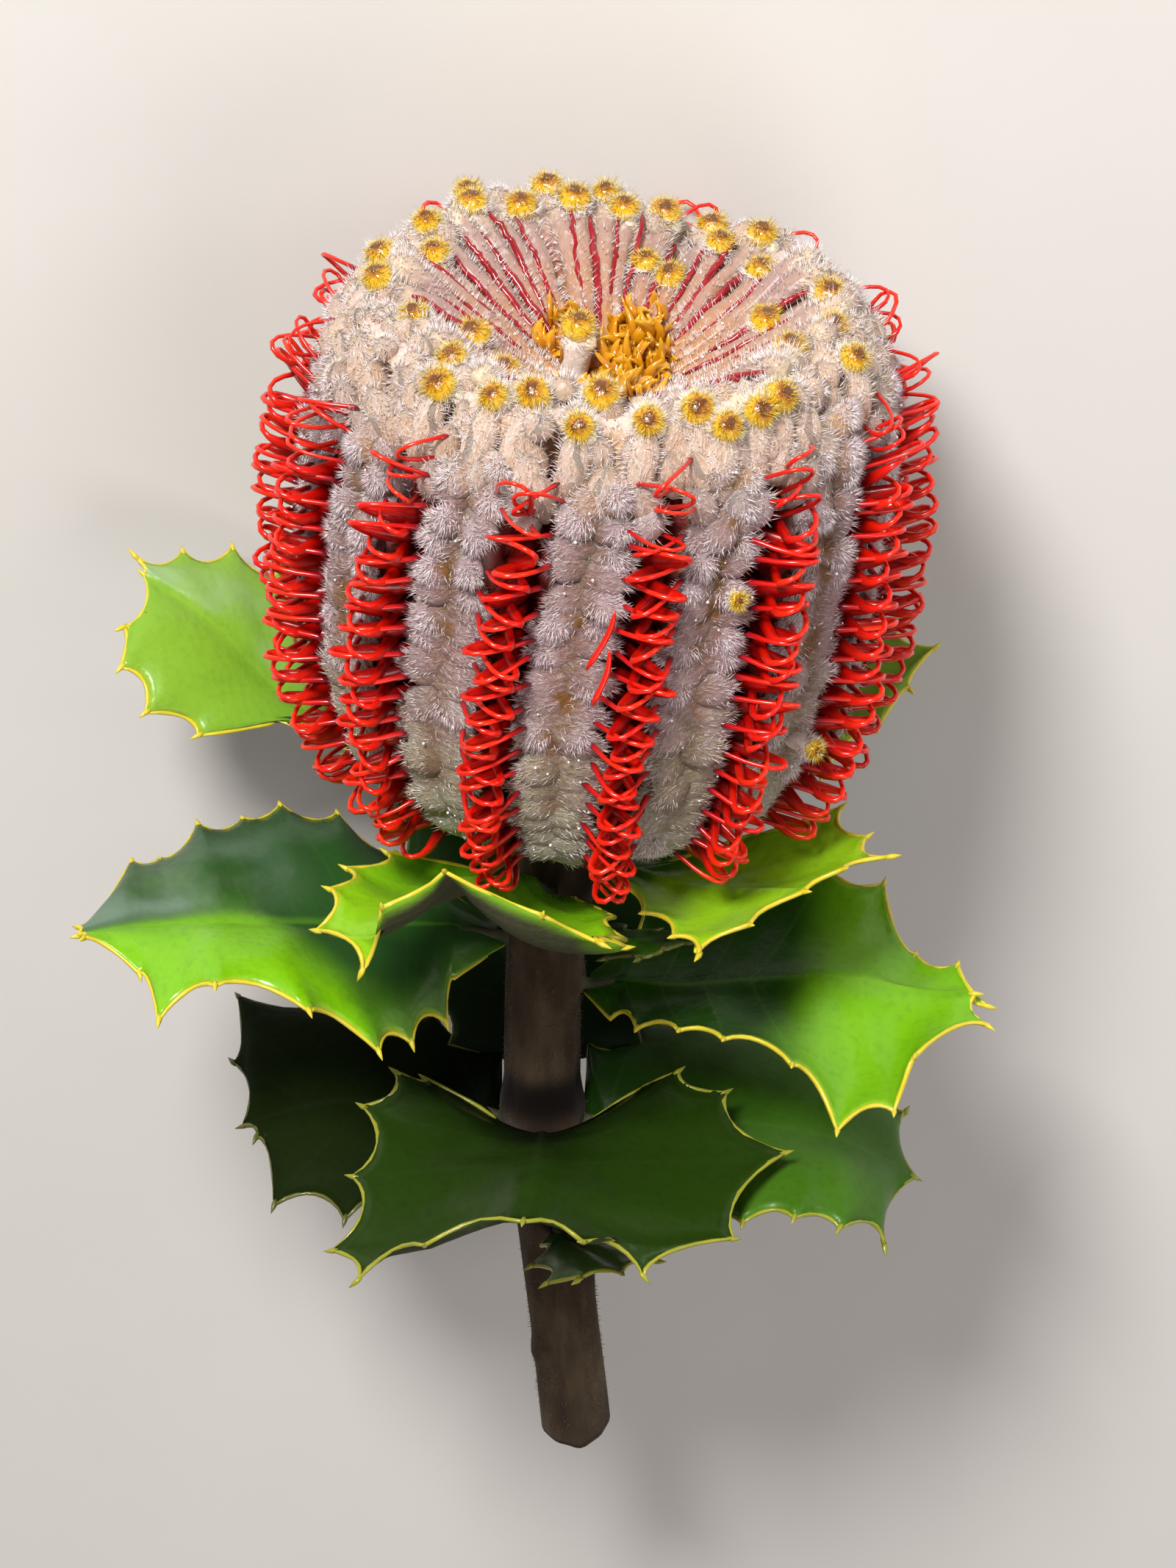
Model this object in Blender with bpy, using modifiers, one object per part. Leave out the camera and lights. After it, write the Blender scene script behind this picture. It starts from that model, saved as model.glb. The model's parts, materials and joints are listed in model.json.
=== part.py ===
"""Banksia flower head on its cut leafy stem, lying on a flat surface.

The plant is modelled upright, in millimetres, about the centre of the head's base:
Z runs up the stem, -Y is the side that ends up facing the sky. One empty then
lays it down, so that the head points along +Y and the lowest loops rest on Z = 0.
"""
import math

import bmesh
import bpy
from mathutils import Matrix, Vector

MM = 0.001
AXIS_HEIGHT = 42.0          # head axis above the surface it lies on
CLEARANCE = 0.55            # air left between neighbouring pieces

# flower head
COLUMNS = 14                # red columns, and as many white ones between them
FIRST_COLUMN = 7.5          # degrees from the front to the first red column
TWIST = 8.0                 # degrees that the columns turn over the height
HEAD_HEIGHT = 70.0
LEAN = -0.0524              # the centre line starts to the left and
BEND = 0.0015               # bends to the right as it rises
LOW_BEARING = 128.0         # the crown is lower and narrower to the right at the back
LOW_DROP = 4.0
LOW_NARROW = 0.07
LOW_FROM = 30.0             # height, and distance from the axis, where that begins
STEPS = 6                   # points across one red and one white column
SEGMENTS = COLUMNS * STEPS
RINGS = 27
# height and radius of the wool: its side from the base up, then the crown's funnel
WOOL_SIDE = [
    (0.0, 0.0), (0.0, 13.0), (0.4, 21.0), (2.6, 26.8), (7.0, 31.3), (13.0, 34.2),
    (20.0, 36.2), (27.0, 37.3), (34.0, 37.8), (41.0, 38.0), (48.0, 37.8), (55.0, 37.4),
    (61.0, 36.5), (66.0, 35.2), (69.4, 32.6),
]
WOOL_CROWN = [
    (70.2, 29.0), (68.6, 25.0), (65.5, 20.5), (62.0, 15.5), (58.5, 10.0), (56.5, 5.0),
    (56.0, 0.0),
]
GIRTH = 37.5                # mean radius at half height
# how far the wool stands in or out across one column, red groove first
WOOL_COLUMN = (-4.4, -2.6, 0.5, -0.6, 0.5, -2.6)
COLUMNS_FROM = 24.0         # the columns start this far from the axis
BASE_FADE = (-1.5, 4.5)     # they deepen from the first height over the second
RIM_FADE = (70.5, 5.0)      # and end at this height, over so much below it
TUFT = 0.6                  # in and out of the tufts down each white column
RIDGE = 0.6                 # in and out of the ridges on the crown
RIDGES_FROM = 6.0
BUD_RADIUS = 2.1
BUD_LIFT = 0.9
RIM_RADIUS = 31.0           # beyond it the buds sit lower, by this much a millimetre:
RIM_FALL = 0.45
# bearing in degrees from the front, and distance from the axis, of each bud
BUDS = [
    (-176, 30), (-167, 28), (-162, 32), (-155, 10), (-151, 27), (-144, 34), (-138, 29),
    (-123, 30), (-113, 26), (-106, 32), (-93, 31), (-83, 18), (-75, 27), (-51, 18),
    (-49, 28), (-43, 33), (-30, 32), (-22, 30), (-9, 34), (-6, 27), (5, 33), (16, 32),
    (21, 35), (29, 34), (35, 33), (63, 24), (63, 33), (76, 28), (98, 28), (100, 20),
    (127, 24), (138, 29), (147, 25), (155, 30), (158, 19), (169, 20), (168, 29), (179, 27),
]

# red loops
LOOPS = 9                   # pairs of loops up each red column
LOOP_BOTTOM = 5.5
LOOP_TOP = 65.0
LOOP_RADIUS = 1.15
LOOP_TAPER = 0.7            # radius of a loop's ends, as a share
LOOP_SIDES = 3
LOOP_PHASE = 0.25           # turns one side of a loop flat to the surface below
LOOP_STAGGER = 0.8          # one half of a pair sits higher, the other lower
LOW_STRETCH = 0.25          # the lowest two pairs reach further out
CORE_RADIUS = 1.5
CORE_DEPTH = 1.6            # the loops' common root below the wool's mean surface
# one loop from its root to its tip: sideways, outwards, upwards
LOOP_PATH = [(0.0, -1.3, 0.0), (1.9, 4.6, 0.8), (4.3, 5.9, -0.4), (5.6, 3.0, -1.5)]
LOOP_SNAP = 0.45            # loops this near the surface below lie flat on it

# stem: height, centre to the right, radius
STEM = [
    (-0.5, 0.0, 9.5), (-5.0, -1.2, 8.4), (-12.0, -3.2, 6.9), (-24.0, -5.9, 5.5),
    (-40.0, -6.7, 5.1), (-53.0, -6.8, 5.3), (-57.5, -6.8, 6.0), (-62.0, -6.6, 5.2),
    (-72.0, -6.0, 5.0), (-80.0, -5.2, 5.0), (-98.0, -3.8, 4.9), (-115.0, -2.4, 4.9),
]
STEM_SIDES = 14
CUT_SLOPE = 0.35            # the stem's end is cut on the slant

# leaves
BLADE = 0.9                 # blade thickness
SINUS = 0.30                # depth of the hollow between two teeth, by their distance
SINUS_MAX = 3.2
SINUS_REACH = 0.4           # and at most this share of the way to the midrib
TIP_BACK = 2.0              # the edge beside the midrib's end draws back this far
PETIOLE = 2.8               # width of a leaf's foot
CAMBER = 0.07

# Each leaf is lofted between its midrib and its two toothed edges. An edge is the
# list of its tooth tips from foot to tip; "tip" adds two teeth beside the midrib's
# end. "node" is where the leaf leaves the stem. All (right, back, up).
LEAVES = {
    "leaf_back_left": {
        "node": -11.0, "color": (0.10, 0.30, 0.035),
        "rib": [(-14, 7, -9.5), (-26, 11.5, -7.5), (-41, 17, -1), (-51.5, 22, 8), (-61, 26, 13.5)],
        "left": [(-20, 6, -8.5), (-33, 10, -5.5), (-43, 13, -2), (-53, 8, -1), (-60, 8, 2.5),
                 (-63.5, 12, 7), (-63.5, 17, 10.5)],
        "right": [(-15, 15, -9), (-23, 24, -7), (-33.5, 32, 0), (-43, 36.5, 7), (-49.5, 36, 11.5),
                  (-56, 32, 13.5), (-62.5, 28, 15)],
    },
    "leaf_back_right": {
        "node": -14.0, "color": (0.09, 0.27, 0.03),
        "rib": [(12, 8, -12.5), (22, 13.5, -10.5), (32, 18.5, -7), (40, 22, -2.5), (47, 25.5, 2)],
        "left": [(8, 13, -12), (12, 23, -10), (22, 31, -7), (32, 34, -3), (42, 32, 2)],
        "right": [(15, 3, -12.5), (22, 4.5, -11), (31, 9, -8), (39, 14, -4), (43.5, 20, -1.5)],
    },
    "leaf_left": {
        "node": -28.0, "color": (0.08, 0.27, 0.03),
        "rib": [(-19, -3, -24.5), (-28, -5, -23), (-39.5, -8, -20.5), (-49.5, -10, -19),
                (-58, -12, -18), (-68.5, -15, -17.5)],
        "left": [(-18.5, -9, -29), (-19.5, -14, -33), (-24, -21, -31.5), (-28, -27, -28),
                 (-37, -29, -20), (-49.5, -27, -17.5), (-57, -28, -22), (-60, -20, -20.5),
                 (-67.5, -17, -17)],
        "right": [(-20, 6, -25.5), (-27, 14, -24.5), (-35, 16, -19), (-43, 16, -18), (-48, 13, -18),
                  (-54, 10, -16.5), (-59, 5, -19.5), (-62.5, 2, -17.5), (-68.5, -13, -17.5)],
    },
    "leaf_front_left": {
        "node": -17.0, "color": (0.20, 0.42, 0.03), "camber": 0.16,
        "rib": [(-7.5, -12, -11), (-10, -18, -6), (-13, -26, -1), (-17, -36, 6), (-18.5, -42.5, 11.5)],
        "left": [(-15, -11, -10.5), (-27, -14, -5), (-32, -20, -3), (-34, -27, -2), (-35.5, -33, -4),
                 (-29.5, -40, -5.5)],
        "right": [(-2, -12, -13.5), (0.5, -16, -12.5), (3, -20, -11.5), (4.5, -27, -9.5),
                  (4.5, -36, -4.5), (1.5, -43, 0.5)],
        "tip": [(-26.5, -42.5, 7), (-6.5, -44, 6.5)],
    },
    "leaf_front_right": {
        "node": -11.5, "color": (0.16, 0.42, 0.03),
        "rib": [(4, -11, -9.5), (8, -14, -9), (13, -18, -8), (20, -23, -5), (27.5, -29, -1)],
        "left": [(1.5, -14, -9.5), (4.5, -22, -5), (6.5, -28, -4.5), (10.5, -34, -4.5),
                 (13.5, -38, -4.5)],
        "right": [(9, -9, -10), (22, -8, -6), (33, -9, -1.5), (36, -15, -1.5), (39, -22, 0)],
        "tip": [(20.5, -34, -2), (32.5, -26, 1)],
    },
    "leaf_small": {
        "node": -23.0, "color": (0.05, 0.15, 0.03), "camber": 0.05,
        "rib": [(1, -10, -20.5), (3, -14, -18.8), (6, -19, -16.2), (9.5, -25, -13)],
        "left": [(-2, -11, -20.5), (-1.5, -16, -18.8), (1.5, -21.5, -16.5), (6, -26, -14)],
        "right": [(4.5, -8.5, -20.5), (8.5, -12, -19), (11.5, -16, -16.8), (13, -22, -13.5)],
    },
    "leaf_right": {
        "node": -36.0, "color": (0.12, 0.36, 0.03),
        "rib": [(4, -2.5, -34.5), (12, -4.5, -34), (22, -6, -32), (34, -8, -30), (44.5, -9, -31.5),
                (52, -10.5, -31)],
        "left": [(2.5, -8, -37), (6, -14, -34), (11.5, -20, -29.5), (17.5, -24, -28.5),
                 (26.5, -28, -29.5), (32.5, -33, -36.5), (40, -30, -36), (43, -24, -31),
                 (53.5, -15, -32.5)],
        "right": [(4, 4, -34), (7.5, 12, -32.5), (16, 16, -30.5), (24, 17, -28.5), (32.5, 16, -27.5),
                  (40.5, 12, -28.5), (44.5, 2, -33), (50, -2, -32), (54, -10, -33.5)],
    },
    "leaf_lower_right": {
        "node": -59.0, "color": (0.07, 0.24, 0.03), "camber": -0.10,
        "rib": [(4, -3, -58), (12, -4.5, -57.5), (24, -6, -57), (36, -8.5, -58.5), (45, -10, -63)],
        "left": [(4.5, -8, -60), (9, -17, -60.5), (14, -24, -60), (20.5, -25.5, -58.5),
                 (27.5, -26, -57), (34, -25, -59.5), (40.5, -20, -67.5)],
        "right": [(4, 4, -57.5), (8, 11, -56.5), (15, 15, -55.5), (24, 15, -55), (32, 12, -56),
                  (39, 7, -57), (44.5, 1, -59.5)],
    },
    "leaf_lower_front": {
        "node": -59.0, "color": (0.05, 0.20, 0.02),
        "rib": [(-6.8, -10, -55), (-7, -15, -52.5), (-7.5, -24, -48.5), (-8, -34, -45.5),
                (-9, -42, -45)],
        "left": [(-13.5, -8, -54.5), (-23, -4, -50), (-27, -6, -47), (-31.5, -10, -50.5),
                 (-32.5, -22, -53), (-35, -32, -57.5), (-31.5, -38, -58.5)],
        "right": [(0, -8, -54.5), (7.5, -5, -50.5), (12, -6, -47.5), (18.5, -8, -49),
                  (26.5, -18, -52), (19, -32, -56), (7, -40, -55.5)],
        "tip": [(-22, -41, -49.5), (-1.5, -42, -48)],
    },
    "leaf_lower_left": {
        "node": -60.0, "color": (0.03, 0.10, 0.02),
        "rib": [(-16.5, 0, -58), (-22, 0, -57.5), (-30, 0, -57), (-38, 0, -57.5), (-49, -1, -60.5)],
        "left": [(-16, -6, -60), (-21, -14, -61.5), (-34, -18, -64), (-44, -15, -63.5),
                 (-47, -4, -60.5)],
        "right": [(-16.5, 6, -57.5), (-24, 16, -56), (-36, 22, -54.5), (-50.5, 21, -54.5),
                  (-51, 11, -58.5)],
    },
    "leaf_behind": {
        "node": -56.0, "color": (0.04, 0.14, 0.02), "camber": -0.03,
        "rib": [(-7, 10, -49), (-6.5, 18.5, -43.5), (-5.5, 28.5, -37), (-4.5, 37, -29),
                (-4, 41, -18)],
        "left": [(-1, 10, -49), (10, 15.5, -45), (18, 23.5, -39), (19, 33, -31), (12, 41, -19)],
        "right": [(-13, 10, -49), (-23, 15.5, -45), (-29, 23.5, -38), (-28, 33, -30),
                  (-20, 41, -19)],
    },
    "leaf_lowest": {
        "node": -76.0, "color": (0.10, 0.28, 0.04),
        "rib": [(-3.5, -9.5, -74), (-1.5, -14, -71.5), (1.5, -21, -68), (4, -27.5, -65)],
        "left": [(0, -8, -74), (6, -12.5, -71.5), (9.5, -19, -68), (9, -25, -65)],
        "right": [(-7, -10, -75), (-8.5, -16, -73.5), (-6.5, -22.5, -71), (-2, -27.5, -67)],
    },
}


def material(name, color, roughness):
    """A plain surface with one colour."""
    made = bpy.data.materials.new(name)
    made.use_nodes = True
    shader = made.node_tree.nodes["Principled BSDF"]
    shader.inputs["Base Color"].default_value = (*color, 1.0)
    shader.inputs["Roughness"].default_value = roughness
    shader.inputs["Metallic"].default_value = 0.0
    return made


def smooth(values, t):
    """Point at share t along evenly spaced values, on a smooth curve through them."""
    last = len(values) - 1
    x = min(max(t, 0.0), 1.0) * last
    i = min(int(x), last - 1)
    f = x - i
    a, b, c, d = (Vector(values[min(max(i + k, 0), last)]) for k in (-1, 0, 1, 2))
    return 0.5 * (2 * b + (c - a) * f + (2 * a - 5 * b + 4 * c - d) * f ** 2
                  + (3 * b - a - 3 * c + d) * f ** 3)


def between(table, x, column):
    """Value of a column of the table at x, on straight lines between its rows."""
    rows = sorted(table)
    x = min(max(x, rows[0][0]), rows[-1][0])
    for low, high in zip(rows, rows[1:]):
        if x <= high[0]:
            share = (x - low[0]) / max(high[0] - low[0], 1e-9)
            return low[column] + (high[column] - low[column]) * share
    return rows[-1][column]


def lean(height):
    """How far to the right the head's centre line is at a height."""
    return LEAN * height + BEND * height ** 2


def head_point(bearing, height, radius):
    """A point of the head from its bearing in degrees, its height and its radius."""
    turned = bearing + TWIST * (height / HEAD_HEIGHT - 0.5)
    low = max(0.0, math.cos(math.radians(turned - LOW_BEARING)))
    low *= min(1.0, max(0.0, height - LOW_FROM) / (HEAD_HEIGHT - LOW_FROM))
    low *= min(1.0, radius / LOW_FROM)
    radius *= 1.0 - LOW_NARROW * low
    turned = math.radians(turned)
    return Vector((lean(height) + radius * math.sin(turned), -radius * math.cos(turned),
                   height - LOW_DROP * low))


def wool_radius(height):
    """Mean radius of the wool's side."""
    return between(WOOL_SIDE, height, 1)


def crown_height(radius):
    """Height of the crown's funnel."""
    return between([(r, h) for h, r in WOOL_CROWN], radius, 1)


def new_object(name, mesh_data, parts, look, parent):
    """A finished sub-part, laid down with the rest of the plant."""
    mesh = bpy.data.meshes.new(name)
    mesh_data.to_mesh(mesh)
    mesh_data.free()
    made = bpy.data.objects.new(name, mesh)
    parts.objects.link(made)
    made.data.materials.append(look)
    made.parent = parent
    return made


def keep_evaluated(made):
    """Replace an object's mesh by what its modifiers make of it."""
    bpy.context.view_layer.update()
    graph = bpy.context.evaluated_depsgraph_get()
    solid = bpy.data.meshes.new_from_object(made.evaluated_get(graph), depsgraph=graph)
    made.modifiers.clear()
    made.data = solid
    return made


def triangulated(mesh_data):
    bmesh.ops.triangulate(mesh_data, faces=mesh_data.faces[:])
    return mesh_data


def ring_tube(path, radii, sides, frame, ends=None, phase=0.5):
    """A tube lofted through rings of points round a path."""
    tube = bmesh.new()
    rings = []
    for i, centre in enumerate(path):
        ahead = path[min(i + 1, len(path) - 1)] - path[max(i - 1, 0)]
        out = frame(i)
        across = ahead.cross(out).normalized()
        out = across.cross(ahead).normalized()
        ring = []
        for k in range(sides):
            turn = 2 * math.pi * (k + phase) / sides
            ring.append(tube.verts.new(
                centre + (out * math.cos(turn) + across * math.sin(turn)) * radii[i]))
        rings.append(ring)
    if ends:
        ends(rings)
    for low, high in zip(rings, rings[1:]):
        for k in range(sides):
            j = (k + 1) % sides
            tube.faces.new((low[k], low[j], high[j], high[k]))
    tube.faces.new(rings[0][::-1])
    tube.faces.new(rings[-1])
    bmesh.ops.recalc_face_normals(tube, faces=tube.faces[:])
    return tube


def press_flat(mesh_data):
    """Loops that the surface presses on lie flat on it."""
    for vert in mesh_data.verts:
        if vert.co.y > AXIS_HEIGHT - LOOP_SNAP:
            vert.co.y = AXIS_HEIGHT


def build_wool(parts, helpers, look, parent):
    """The head's woolly body, with the buds round its crown fused on."""
    body = bmesh.new()
    bmesh.ops.create_uvsphere(body, u_segments=SEGMENTS, v_segments=RINGS, radius=1.0)
    profile = [Vector(row) for row in WOOL_SIDE + WOOL_CROWN]
    rim = (len(WOOL_SIDE) - 1) / (len(profile) - 1)
    for vert in body.verts:
        ring = round(RINGS * (1 - math.acos(max(-1.0, min(1.0, vert.co.z))) / math.pi))
        height, radius = smooth(profile, ring / RINGS)
        height = max(height, 0.0)
        step = round(SEGMENTS * (math.atan2(vert.co.x, -vert.co.y) / (2 * math.pi)))
        phase = step % STEPS
        on_side = ring / RINGS < rim
        if on_side and radius > COLUMNS_FROM:
            fade = min(1.0, (height - BASE_FADE[0]) / BASE_FADE[1])
            fade = min(fade, max(0.0, (RIM_FADE[0] - height) / RIM_FADE[1]))
            tuft = TUFT * (-1) ** ring if phase in (2, 4) else 0.0
            radius += fade * (WOOL_COLUMN[phase] + tuft)
        elif not on_side and radius > RIDGES_FROM:
            height += RIDGE * (-1) ** step * min(1.0, radius / WOOL_CROWN[3][1])
        bearing = FIRST_COLUMN + 360.0 * step / SEGMENTS
        vert.co = head_point(bearing, height, max(radius, 0.0))
    bmesh.ops.remove_doubles(body, verts=body.verts[:], dist=0.02)
    triangulated(body)
    bmesh.ops.recalc_face_normals(body, faces=body.faces[:])
    wool = new_object("wool_head", body, parts, look, parent)

    buds = bpy.data.collections.new("buds")
    helpers.children.link(buds)
    for i, (bearing, radius) in enumerate(BUDS):
        height = crown_height(radius) - RIM_FALL * max(0.0, radius - RIM_RADIUS)
        place = head_point(bearing - TWIST / 2, height + BUD_LIFT, radius)
        knob = bmesh.new()
        bmesh.ops.create_icosphere(knob, subdivisions=1, radius=BUD_RADIUS,
                                   matrix=Matrix.Translation(place) @ Matrix.Rotation(0.3 * i, 4, "Z"))
        mesh = bpy.data.meshes.new("bud")
        knob.to_mesh(mesh)
        knob.free()
        buds.objects.link(bpy.data.objects.new("bud", mesh))
    fuse(wool, buds)
    return wool


def fuse(made, collection):
    """Join the objects of a collection to one solid and clear them away."""
    for other in collection.objects:
        other.parent = made.parent
    union = made.modifiers.new("join", "BOOLEAN")
    union.operation = "UNION"
    union.operand_type = "COLLECTION"
    union.collection = collection
    union.solver = "MANIFOLD"
    keep_evaluated(made)
    for other in list(collection.objects):
        bpy.data.objects.remove(other, do_unlink=True)
    bpy.data.collections.remove(collection)
    tidy = bmesh.new()
    tidy.from_mesh(made.data)
    bmesh.ops.remove_doubles(tidy, verts=tidy.verts[:], dist=0.001)
    tidy.to_mesh(made.data)
    tidy.free()


def build_loops(column, parts, helpers, look, parent):
    """One red column: loops to either side, on the shared root that runs up the groove."""
    bearing = FIRST_COLUMN + 360.0 * column / COLUMNS
    heights = [LOOP_BOTTOM + (LOOP_TOP - LOOP_BOTTOM) * i / (LOOPS - 1) for i in range(LOOPS)]

    def outward(height):
        return (head_point(bearing, height, 1.0) - head_point(bearing, height, 0.0)).normalized()

    levels = heights[:1] + [(heights[0] + heights[1]) / 2] + heights[1:]
    spine = [head_point(bearing, h, wool_radius(h) - CORE_DEPTH) for h in levels]
    radii = [CORE_RADIUS] * len(levels)
    core = ring_tube(spine, radii, LOOP_SIDES, lambda i: outward(levels[i]))
    made = new_object("red_loops_%02d" % (column + 1), core, parts, look, parent)

    loops = bpy.data.collections.new("loops")
    helpers.children.link(loops)
    for i, height in enumerate(heights):
        stretch = 1.0 + LOW_STRETCH * max(0.0, 1.0 - i / 2.0)
        path = []
        for sign in (-1, 1):
            rise = LOOP_STAGGER * sign * (-1) ** i
            half = []
            for side, out, up in LOOP_PATH:
                level = height + up + rise * min(1.0, side)
                radius = wool_radius(level) + (out * stretch if out > 0 else out)
                half.append(head_point(bearing + sign * math.degrees(side / GIRTH), level, radius))
            path = half[::-1] if sign < 0 else path + half[1:]
        for point in path:
            point.y = min(point.y, AXIS_HEIGHT - 0.5 * LOOP_RADIUS)
        radii = [LOOP_RADIUS] * len(path)
        radii[0] = radii[-1] = LOOP_TAPER * LOOP_RADIUS
        loop = ring_tube(path, radii, LOOP_SIDES, lambda _: Vector((0, 0, 1)), phase=LOOP_PHASE)
        press_flat(loop)
        triangulated(loop)
        mesh = bpy.data.meshes.new("loop")
        loop.to_mesh(mesh)
        loop.free()
        loops.objects.link(bpy.data.objects.new("loop", mesh))
    fuse(made, loops)
    return made


def build_stem(parts, look, parent):
    """The stem, a little bent, thicker at its joints and cut on the slant."""
    path = [Vector((x, 0.0, z)) for z, x, _ in STEM]
    radii = [row[2] for row in STEM]

    def slant(rings):
        for vert in rings[0]:
            vert.co.z = STEM[0][0]
        for vert in rings[-1]:
            vert.co.z += CUT_SLOPE * vert.co.y

    stem = ring_tube(path, radii, STEM_SIDES, lambda _: Vector((0, -1, 0)), slant)
    triangulated(stem)
    return new_object("stem", stem, parts, look, parent)


def leaf_foot(leaf):
    """Where the leaf leaves the stem, a hair clear of its skin."""
    node = leaf["node"]
    centre = Vector((between(STEM, node, 1), 0.0, node))
    radius = between(STEM, node, 2)
    towards = Vector(leaf["rib"][0]) - centre
    flat = Vector((towards.x, towards.y, 0.0)).normalized()
    return centre + flat * (radius + CLEARANCE)


def edge_rows(tips, rib):
    """Edge points from foot to tip: every tooth, and the hollow between two teeth."""
    rows = []
    for i, tip in enumerate(tips):
        rows.append(Vector(tip))
        if i + 1 < len(tips):
            following = Vector(tips[i + 1])
            middle = (rows[-1] + following) / 2
            inward = rib(i + 0.5) - middle
            depth = min(SINUS * (following - rows[-1]).length, SINUS_MAX,
                        SINUS_REACH * inward.length)
            rows.append(middle + inward.normalized() * depth)
    return rows


def build_leaf(name, leaf, parts, parent):
    """One leaf: a toothed, waved blade lofted between its midrib and its edges."""
    teeth = len(leaf["left"]) - 1
    ribs = [Vector(p) for p in leaf["rib"]]

    def rib(station):
        return smooth(ribs, station / teeth)

    left = edge_rows(leaf["left"], rib)
    right = edge_rows(leaf["right"], rib)
    rows = []
    foot = leaf_foot(leaf)
    across = (left[0] - right[0]).normalized()
    rows.append([foot + across * PETIOLE * share for share in (0.5, 0.25, 0.0, -0.25, -0.5)])
    for i, (a, b) in enumerate(zip(left, right)):
        middle = rib(i / 2)
        along = rib(i / 2 + 0.3) - rib(i / 2 - 0.3)
        upward = (b - middle).cross(along).normalized()
        if upward.dot((middle - a).cross(along)) < 0:
            upward = -upward
        camber = leaf.get("camber", CAMBER)
        inner = [(end + middle) / 2 + upward * camber * (end - middle).length for end in (a, b)]
        if i == len(left) - 1 and "tip" in leaf:
            inner = [Vector(p) for p in leaf["tip"]]
        elif i == len(left) - 1:
            back = rib(teeth - 0.5) - middle
            inner = [p + back.normalized() * min(TIP_BACK, back.length / 2) for p in inner]
        rows.append([a, inner[0], middle, inner[1], b])
    columns = len(rows[0])
    blade = bmesh.new()
    bmesh.ops.create_grid(blade, x_segments=columns - 1, y_segments=len(rows) - 1, size=0.5)
    for vert in blade.verts:
        column = round((vert.co.x + 0.5) * (columns - 1))
        row = round((vert.co.y + 0.5) * (len(rows) - 1))
        vert.co = rows[row][column]
    triangulated(blade)
    if sum(face.normal.z * face.calc_area() for face in blade.faces) < 0:
        bmesh.ops.reverse_faces(blade, faces=blade.faces[:])
    made = new_object(name, blade, parts, material(name, leaf["color"], 0.38), parent)
    thick = made.modifiers.new("thickness", "SOLIDIFY")
    thick.thickness = BLADE
    thick.offset = -1.0
    keep_evaluated(made)
    for vert in made.data.vertices:
        vert.co.y = min(vert.co.y, AXIS_HEIGHT)
    return made


def main():
    for old in list(bpy.data.objects):
        bpy.data.objects.remove(old, do_unlink=True)
    scene = bpy.context.scene
    scene.unit_settings.system = "METRIC"
    parts = bpy.data.collections.new("banksia_flower")
    helpers = bpy.data.collections.new("helpers")
    scene.collection.children.link(parts)
    scene.collection.children.link(helpers)

    plant = bpy.data.objects.new("laid_down", None)
    parts.objects.link(plant)

    cream = material("wool", (0.72, 0.66, 0.52), 0.95)
    red = material("red_style", (0.72, 0.02, 0.012), 0.3)
    bark = material("bark", (0.16, 0.11, 0.08), 0.9)

    solids = [build_wool(parts, helpers, cream, plant), build_stem(parts, bark, plant)]
    solids += [build_loops(k, parts, helpers, red, plant) for k in range(COLUMNS)]
    solids += [build_leaf(name, leaf, parts, plant) for name, leaf in LEAVES.items()]
    bpy.data.collections.remove(helpers)

    for made in solids:
        made.data.transform(Matrix.Scale(MM, 4))
    plant.rotation_euler = (-math.pi / 2, 0.0, 0.0)
    bpy.context.view_layer.update()
    corners = [made.matrix_world @ vert.co for made in solids for vert in made.data.vertices]
    xs = [corner.x for corner in corners]
    ys = [corner.y for corner in corners]
    plant.location = (-(min(xs) + max(xs)) / 2, -(min(ys) + max(ys)) / 2, AXIS_HEIGHT * MM)
    bpy.context.view_layer.update()


main()
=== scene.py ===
import json
import math

import bpy
import numpy as np
from mathutils import Matrix, Vector


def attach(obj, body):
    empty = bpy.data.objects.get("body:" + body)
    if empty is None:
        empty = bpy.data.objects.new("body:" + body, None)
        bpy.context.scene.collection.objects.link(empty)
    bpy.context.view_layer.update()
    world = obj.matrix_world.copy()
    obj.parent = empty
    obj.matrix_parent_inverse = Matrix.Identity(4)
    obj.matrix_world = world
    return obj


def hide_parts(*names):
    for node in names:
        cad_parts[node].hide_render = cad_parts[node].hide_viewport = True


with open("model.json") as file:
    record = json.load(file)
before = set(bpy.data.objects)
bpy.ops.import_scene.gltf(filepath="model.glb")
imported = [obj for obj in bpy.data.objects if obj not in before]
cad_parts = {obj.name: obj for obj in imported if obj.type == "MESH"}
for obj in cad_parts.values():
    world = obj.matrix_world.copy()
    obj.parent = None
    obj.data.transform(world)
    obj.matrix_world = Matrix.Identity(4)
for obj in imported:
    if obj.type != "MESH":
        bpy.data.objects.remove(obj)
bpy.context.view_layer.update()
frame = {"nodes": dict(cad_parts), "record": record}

# A woolly banksia head with its columns of red styles, on a cut leafy stem, lying down.
# Everything is worked out upright in millimetres first: right, back, up the stem, from
# the middle of the head's base. toWorld then lays it where the frame has it.

rng = np.random.default_rng(41)
mm = 0.001

stemPoints = np.array([v.co for v in frame["nodes"]["stem"].data.vertices])
topRing = stemPoints[stemPoints[:, 1] > stemPoints[:, 1].max() - 0.1 * mm]
headBase = topRing.mean(0) + (0.0, 0.5 * mm, 0.0)       # the head starts just above the stem
axisHeight = headBase[2] / mm


def toWorld(points):
    points = np.asarray(points, float)
    laid = np.stack([points[..., 0], points[..., 2], -points[..., 1]], -1)
    return headBase + laid * mm


def clearPick():
    bpy.ops.object.select_all(action="DESELECT")


def pick(thing):
    clearPick()
    thing.select_set(True)
    bpy.context.view_layer.objects.active = thing


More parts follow.
